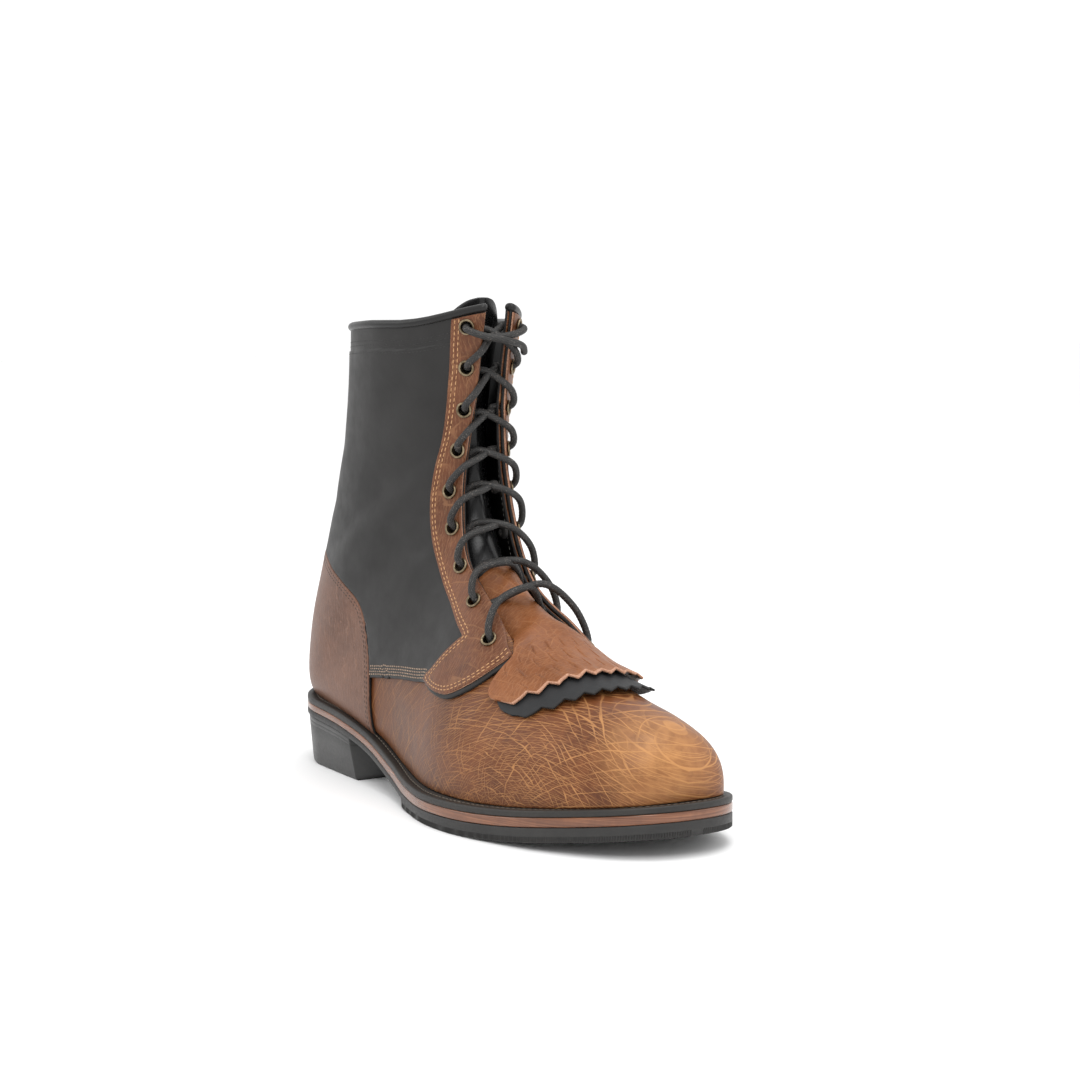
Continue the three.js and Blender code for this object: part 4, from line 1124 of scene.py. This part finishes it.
def build_eyelets():
    """Rolled rings, each turned to the leather that it is set in."""
    barrel, rim = EYELET_BARREL / 2, EYELET_FLANGE / 2 - EYELET_TRIM
    bore = barrel - EYELET_TRIM / 3
    low, seat = -WALL - SEAM, EYELET_SEAT
    profile = [
        (barrel, low), (barrel, seat - 0.5), (rim - 0.25, seat - 0.45), (rim, seat - 0.2),
        (rim, seat + 0.05), (rim - 0.2, seat + 0.32), (rim - 0.5, seat + 0.45), (bore + 0.4, seat + 0.4),
        (bore + 0.1, seat + 0.2), (bore, seat - 0.1), (bore, low),
    ]
    sides = 28
    for number, (t, angles) in enumerate(EYELETS, 1):
        for side, angle in angles.items():
            centre = form_point(np.array(t), np.array(angle))
            axis = form_normal(np.array(t), np.array(angle))
            across = unit(np.cross(axis, [0, 0, 1.0]))
            up = np.cross(across, axis)
            points, faces = [], []
            for radius, height in profile:
                for k in range(sides):
                    turn = 2 * math.pi * k / sides
                    around = across * math.cos(turn) + up * math.sin(turn)
                    points.append(centre + axis * height + around * radius)
            rows = len(profile)
            for r in range(rows):
                for k in range(sides):
                    a, b = r * sides + k, r * sides + (k + 1) % sides
                    c, d = ((r + 1) % rows) * sides + (k + 1) % sides, ((r + 1) % rows) * sides + k
                    faces.append((a, b, c, d))
            word = "lateral" if side == 1 else "medial"
            make_piece(f"ring_{word}_{number}", np.array(points), faces, [BRASS],
                       (f"eyelet_{word}_{number}",))


LACE_OVER_EYELET = EYELET_SEAT + FLANGE + SEAM + LACE / 2
LACE_OVER_EDGE = EYESTAY_OUT + 2 * SEAM + LACE / 2
LACE_UNDER_EDGE = -WALL - SEAM - LACE / 2
LACE_UNDER_EYELET = LACE_UNDER_EDGE - 2 * SEAM


def spot(t, angle, height):
    return offset_point(np.array(float(t)), np.array(float(angle)), np.array(float(height)))


def crossing_points(lower, upper, side, rise):
    """Places of one strand: out of a lower eyelet, over its own edge, under the other edge, to the next."""
    (low_t, low_angles), (high_t, high_angles) = EYELETS[lower], EYELETS[upper]
    at = lambda share: low_t + (high_t - low_t) * share
    middle = (spot(at(0.55), beside_edge(at(0.55), side, -1.2), LACE_OVER_EDGE)
              + spot(at(0.7), beside_edge(at(0.7), -side, -1.6), LACE_UNDER_EDGE)) / 2
    front = form_normal(np.array(at(0.6)), np.array(0.0))
    middle = middle + front * (rise + (0.9 if side == -1 else -0.9))
    low_angle = low_angles[side]
    return [
        spot(low_t, low_angle, -2.5),
        spot(low_t + 0.01, low_angle * 0.98, 2.0),
        spot(at(0.11), low_angle * 0.74 + 0.26 * beside_edge(at(0.11), side, 0.5), LACE_OVER_EYELET - 0.9),
        spot(at(0.36), beside_edge(at(0.36), side, -0.4), LACE_OVER_EDGE + 0.3) + front * 0.25 * rise,
        middle,
        spot(at(0.75), beside_edge(at(0.75), -side, -2.4), LACE_UNDER_EDGE - 0.4),
        spot(at(0.85), beside_edge(at(0.85), -side, 1), LACE_UNDER_EDGE - 0.2),
        spot(high_t - 0.08, high_angles[-side] * 0.96, LACE_UNDER_EYELET - 0.6),
    ]


def centripetal(points, per_span=14):
    """Smooth line through points, without loops where they lie close together."""
    points = np.array(points)
    points = np.vstack([2 * points[0] - points[1], points, 2 * points[-1] - points[-2]])
    out = []
    for i in range(1, len(points) - 2):
        p = points[i - 1:i + 3]
        steps = np.maximum(np.linalg.norm(np.diff(p, axis=0), axis=1), 1e-4)
        k = np.concatenate([[0], np.cumsum(np.sqrt(steps))])
        between = lambda t, i, j, a, b: (k[j] - t) / (k[j] - k[i]) * a + (t - k[i]) / (k[j] - k[i]) * b
        for t in np.linspace(k[1], k[2], per_span, endpoint=False):
            a = [between(t, j, j + 1, p[j], p[j + 1]) for j in range(3)]
            b = [between(t, j, j + 2, a[j], a[j + 1]) for j in range(2)]
            out.append(between(t, 1, 2, b[0], b[1]))
    out.append(points[-2])
    return np.array(out)


def even_steps(line, step):
    walked = np.concatenate([[0], np.cumsum(np.linalg.norm(np.diff(line, axis=0), axis=1))])
    at = np.arange(0, walked[-1], step)
    return np.stack([np.interp(at, walked, line[:, k]) for k in range(3)], -1)


def lace_tube(name, path, nodes):
    """Round braid: ridges of strands that cross each other, on a tube along the path."""
    step, around, strands, pitch = 0.42, 20, 5, 3.4
    path = even_steps(centripetal(path), step)
    count = len(path)
    along = unit(np.gradient(path, axis=0))
    across = unit(np.cross(along[0], [0.3, 0.2, 1.0]))
    points, flow = [], []
    for i in range(count):
        across = unit(across - (across @ along[i]) * along[i])
        up = np.cross(along[i], across)
        for k in range(around):
            turn = 2 * math.pi * k / around
            u, v = k / around * strands, i * step / pitch
            ridge = math.sin(2 * math.pi * (u + v)) * math.sin(2 * math.pi * (u - v))
            end = min(1.0, 0.35 + 0.5 * min(i, count - 1 - i))
            radius = (LACE / 2 - 0.16 + 0.24 * abs(ridge)) * end
            points.append(path[i] + (across * math.cos(turn) + up * math.sin(turn)) * radius)
            flow.append((u, v))
    faces = []
    for i in range(count - 1):
        for k in range(around):
            a, b = i * around + k, i * around + (k + 1) % around
            faces.append((a, b, b + around, a + around))
    faces.append(tuple(range(around))[::-1])
    faces.append(tuple((count - 1) * around + k for k in range(around)))
    make_piece(name, np.array(points), faces, [LACE_SKIN], nodes, None, flow)


def build_lace():
    """Each crossing's two strands; a strand goes on through the upper eyelet as the next crossing's."""
    rows = len(EYELETS)
    for side in (1, -1):
        path, here = [], side
        for lower in range(rows - 1, 0, -1):
            rise = LACE_RISE * min(max((lower - 1 - 2) / 5, 0), 1)
            path += crossing_points(lower, lower - 1, here, rise)
            here = -here
        t, angles = EYELETS[0]
        raised = LACE_OVER_EDGE + LACE
        path += [spot(t, angles[here], -2.5), spot(t, angles[here], 1.5)]
        if here == 1:
            path += [
                spot(t - 0.05, angles[1] * 0.97, LACE_OVER_EYELET - 0.6),
                spot(t - 0.35, beside_edge(t - 0.35, 1, 0), raised),
                spot(t - 0.65, 0, raised),
                spot(t - 0.85, beside_edge(t - 0.85, -1, 0), raised),
                spot(t - 1.05, beside_edge(t - 1.05, -1, 5), raised - 1),
            ]
        else:
            path += [
                spot(t - 0.03, angles[-1] * 0.97, LACE_OVER_EYELET - 0.6),
                spot(t - 0.25, beside_edge(t - 0.25, -1, 0), raised - 1.5),
                spot(t - 0.5, 0, raised - 2.2),
                spot(t - 0.58, beside_edge(t - 0.58, 1, -3), LACE_OVER_EDGE - 0.6),
                spot(t - 0.75, beside_edge(t - 0.75, 1, -1.5), 0.5),
                spot(t - 0.95, beside_edge(t - 0.95, 1, 1.5), LACE_UNDER_EDGE),
            ]
        nodes = [f"lace_cross_{k}" for k in range(1, rows)] + ["lace_cross_top"]
        lace_tube("lace_lateral" if side == 1 else "lace_medial", path, nodes if side == 1 else ())


# Sole

def outline(share, inset):
    row = hermite(OUTLINE, share)
    heel = np.clip(1 - share / HEEL_ROUND, 0, 1)
    toe = np.clip(1 - (1 - share) / TOE_ROUND, 0, 1)
    close = np.sqrt(1 - heel**2) * (1 - toe**TOE_POWER) ** (1 / TOE_POWER)
    length = inset + share * (SOLE_LENGTH - 2 * inset)
    reach = (row[:, 2] * BALL_WIDTH - inset) * close
    return length, row[:, 1] * BALL_WIDTH, reach


def shares(low=0.0, high=1.0, count=150):
    """Shares of the length, close together where the outline rounds at both ends."""
    u = np.linspace(0, 1, count)
    s = 0.5 - 0.5 * np.cos(math.pi * u)
    s = 0.00015 + (0.9998 - 0.00015) * (0.72 * s + 0.28 * s * s * (3 - 2 * s))
    return s[(s >= low) & (s <= high)]


def sole_ring(s, inset, height):
    """Closed ring: forward along the outer side and back along the inner side."""
    length, centre, reach = outline(s, inset)
    z = height(length)
    left = np.stack([centre - reach, HALF - length, z], -1)
    right = np.stack([centre + reach, HALF - length, z], -1)
    return np.vstack([left, right[::-1]])


def ring_faces(rows, size, closed=False):
    faces = []
    for r in range(rows - (0 if closed else 1)):
        for k in range(size):
            a, b = r * size + k, r * size + (k + 1) % size
            c, d = ((r + 1) % rows) * size + (k + 1) % size, ((r + 1) % rows) * size + k
            faces.append((a, b, c, d))
    return faces


def cap_faces(base, size):
    half = size // 2
    return [(base + k, base + k + 1, base + size - 2 - k, base + size - 1 - k) for k in range(half - 1)]


def stacked(name, s, rings, material, nodes):
    """Plate from rings of (inset, height) listed from its top face down, closed by flat faces."""
    points = np.vstack([sole_ring(s, inset, height) for inset, height in rings])
    size = 2 * len(s)
    faces = ring_faces(len(rings), size) + [f[::-1] for f in cap_faces(0, size)]
    faces += cap_faces((len(rings) - 1) * size, size)
    make_piece(name, points, [f[::-1] for f in faces], [material], nodes)


def midsole_low(length):
    return welt_top(length) - WELT - midsole_thickness(length)


def outsole_low(length):
    tread = np.clip((length - TREAD_START) / TREAD_STEP, 0, 1)
    return np.maximum(0, midsole_low(length) - OUTSOLE_WAIST - (OUTSOLE - OUTSOLE_WAIST) * tread)


def build_welt():
    s = shares()
    top = lambda drop: (lambda length: welt_top(length) - drop)
    rings = [
        (17.0, top(WELT)), (17.0, top(0.1)), (5.2, top(0.0)), (4.6, top(0.25)), (3.4, top(0.25)),
        (2.9, top(0.0)), (1.1, top(0.02)), (0.45, top(0.15)), (0.1, top(0.5)), (0.0, top(1.0)),
        (0.0, top(2.3)), (0.25, top(WELT)),
    ]
    points = np.vstack([sole_ring(s, inset, height) for inset, height in rings])
    faces = ring_faces(len(rings), 2 * len(s), True)
    make_piece("welt_strip", points, [f[::-1] for f in faces], [WELT_SKIN], ("welt",))
    line = sole_ring(shares(0.004, 0.9985, 400), 4.0, top(0.12))
    up = np.tile([0.0, 0.0, 1.0], (len(line), 1))
    tube_stitches("welt_stitches", [(line, up)], WELT_THREAD, 3.0, 2.3, 0.34)


def build_sole():
    s = shares()
    top = lambda drop: (lambda length: welt_top(length) - WELT - SEAM * 0.3 - drop)
    low = lambda rise: (lambda length: midsole_low(length) + rise)
    rings = [
        (0.9, top(0)), (0.35, top(0.05)), (0.1, top(0.3)), (0.0, top(0.7)),
        (0.0, low(0.8)), (0.1, low(0.35)), (0.5, low(0.0)),
    ]
    stacked("midsole_layer", s, rings, MIDSOLE_SKIN, ("midsole",))
    build_outsole()


def build_outsole():
    """Rubber with a rounded upper edge and fine ribs round the lowest part of the tread."""
    bends = np.array([TREAD_START, TREAD_START + TREAD_STEP]) / SOLE_LENGTH
    s = np.unique(np.concatenate([shares(count=900), bends]))
    length, centre, reach = outline(s, 0.0)
    size = 2 * len(s)
    edge = sole_ring(s, 0.0, outsole_low)
    walked = np.concatenate([[0], np.cumsum(np.linalg.norm(np.diff(edge[:, :2], axis=0), axis=1))])
    wave = 0.5 - 0.5 * np.cos(2 * math.pi * walked / 1.15)
    tread = np.clip((HALF - edge[:, 1] - TREAD_START) / 3, 0, 1)
    top = sole_ring(s, 0.0, lambda v: midsole_low(v) - SEAM * 0.3)
    rings = []
    low = edge[:, 2]
    span = np.maximum(top[:, 2] - low, 0.2)
    # Inset, drop from the top or else rise from the lowest line, share of the ribs
    for inset, drop, rise, rib in (
            (0.8, 0, None, 0), (0.25, 0.1, None, 0), (0.0, 0.5, None, 0), (0.0, None, 3.1, 0),
            (0.0, None, 2.75, 0.0), (0.0, None, 2.6, 1.0), (0.0, None, 0.45, 1.0), (0.5, None, 0.0, 0.7)):
        ring = sole_ring(s, inset, lambda v: v * 0)
        if drop is None:
            ring[:, 2] = low + np.minimum(rise, span * 0.75 * (0.4 + 0.6 * (rise > 1)))
        else:
            ring[:, 2] = top[:, 2] - drop
        to_middle = np.concatenate([centre, centre[::-1]]) - ring[:, 0]
        to_straight = np.clip(ring[:, 1], -100, 120) - ring[:, 1]
        inward = unit(np.stack([to_middle, to_straight], -1))
        ring[:, :2] += inward * (0.5 * rib * wave * tread)[:, None]
        rings.append(ring)
    points = np.vstack(rings)
    faces = ring_faces(len(rings), size) + [f[::-1] for f in cap_faces(0, size)]
    faces += cap_faces((len(rings) - 1) * size, size)
    make_piece("outsole_rubber", points, [f[::-1] for f in faces], [RUBBER], ("outsole",))


def build_heel():
    """Block with thin layers at its top, a smooth face below and a slanted breast."""
    steps = np.concatenate([np.linspace(0, 1, 60) ** 2 * 0.5, np.linspace(0.51, 1, 30)])
    steps = np.maximum(steps, 0.0005)
    levels = [
        (0.0, 0.5), (0.01, 0.12), (0.045, 0.0), (0.085, 0.0), (0.1, 0.28), (0.115, 0.0), (0.165, 0.0),
        (0.18, 0.28), (0.195, 0.0), (0.5, 0.0), (0.9, 0.0), (0.97, 0.12), (1.0, 0.5),
    ]
    rings = []
    for down, inset in levels:
        front = HEEL_LENGTH - HEEL_BREAST * (1 - down)
        s = steps * front / SOLE_LENGTH
        length, centre, reach = outline(s, 0.6 + (HEEL_INSET - 0.6) * down + inset)
        high = outsole_low(length) - SEAM * 0.3
        z = high * (1 - down)
        left = np.stack([centre - reach, HALF - length, z], -1)
        right = np.stack([centre + reach, HALF - length, z], -1)
        rings.append(np.vstack([left, right[::-1]]))
    points = np.vstack(rings)
    size = 2 * len(steps)
    faces = ring_faces(len(rings), size) + [f[::-1] for f in cap_faces(0, size)]
    faces += cap_faces((len(rings) - 1) * size, size)
    make_piece("heel_block", points, [f[::-1] for f in faces], [HEEL_SKIN], ("heel",))


upper_sheet, quarter_sheet, counter_sheet = build_leathers()
build_stitches(upper_sheet, quarter_sheet, counter_sheet)
build_binding()
build_strips()
build_eyelets()
build_lace()
build_welt()
build_sole()
build_heel()

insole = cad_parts["insole"]
insole.data.materials.clear()
insole.data.materials.append(INSOLE_SKIN)


# Floor, light and camera

def build_stage():
    mesh = bpy.data.meshes.new("floor")
    mesh.from_pydata([(-6, -6, 0), (6, -6, 0), (6, 6, 0), (-6, 6, 0)], [], [(0, 1, 2, 3)])
    floor = bpy.data.objects.new("floor", mesh)
    bpy.context.scene.collection.objects.link(floor)
    n = Nodes("floor_white")
    mesh.materials.append(n.finish((0.93, 0.93, 0.93), 0.7))
    world = bpy.data.worlds.new("studio")
    world.use_nodes = True
    world.node_tree.nodes["Background"].inputs[0].default_value = (1, 1, 1, 1)
    world.node_tree.nodes["Background"].inputs[1].default_value = 1.08
    bpy.context.scene.world = world
    bpy.context.scene.view_settings.view_transform = "Standard"
    for name, place, aim, size, power in (
        ("key", (-0.7, -1.2, 1.4), (0, 0, 0.1), 0.7, 9),
        ("fill", (1.3, -0.9, 0.9), (0, 0, 0.1), 1.0, 3.5),
        ("rim", (-1.2, 1.0, 1.0), (0, 0, 0.12), 0.8, 4),
        ("top", (0.1, -0.3, 1.7), (0, 0, 0.1), 0.9, 9),
    ):
        light = bpy.data.lights.new(name, "AREA")
        light.size = size
        light.energy = power
        obj = bpy.data.objects.new(name, light)
        obj.location = place
        obj.rotation_euler = (Vector(aim) - Vector(place)).to_track_quat("-Z", "Y").to_euler()
        bpy.context.scene.collection.objects.link(obj)


def build_camera():
    camera = bpy.data.cameras.new("camera")
    camera.lens = 85.27
    camera.sensor_width = 36.0
    obj = bpy.data.objects.new("camera", camera)
    place = (np.array([-597.1, -1000.4, 240.6]) - SHIFT) * MM
    target = (np.array([28.0, 0.0, 118.7]) - SHIFT) * MM
    obj.location = place
    obj.rotation_euler = (Vector(target) - Vector(place)).to_track_quat("-Z", "Y").to_euler()
    bpy.context.scene.collection.objects.link(obj)
    bpy.context.scene.camera = obj


build_stage()
build_camera()
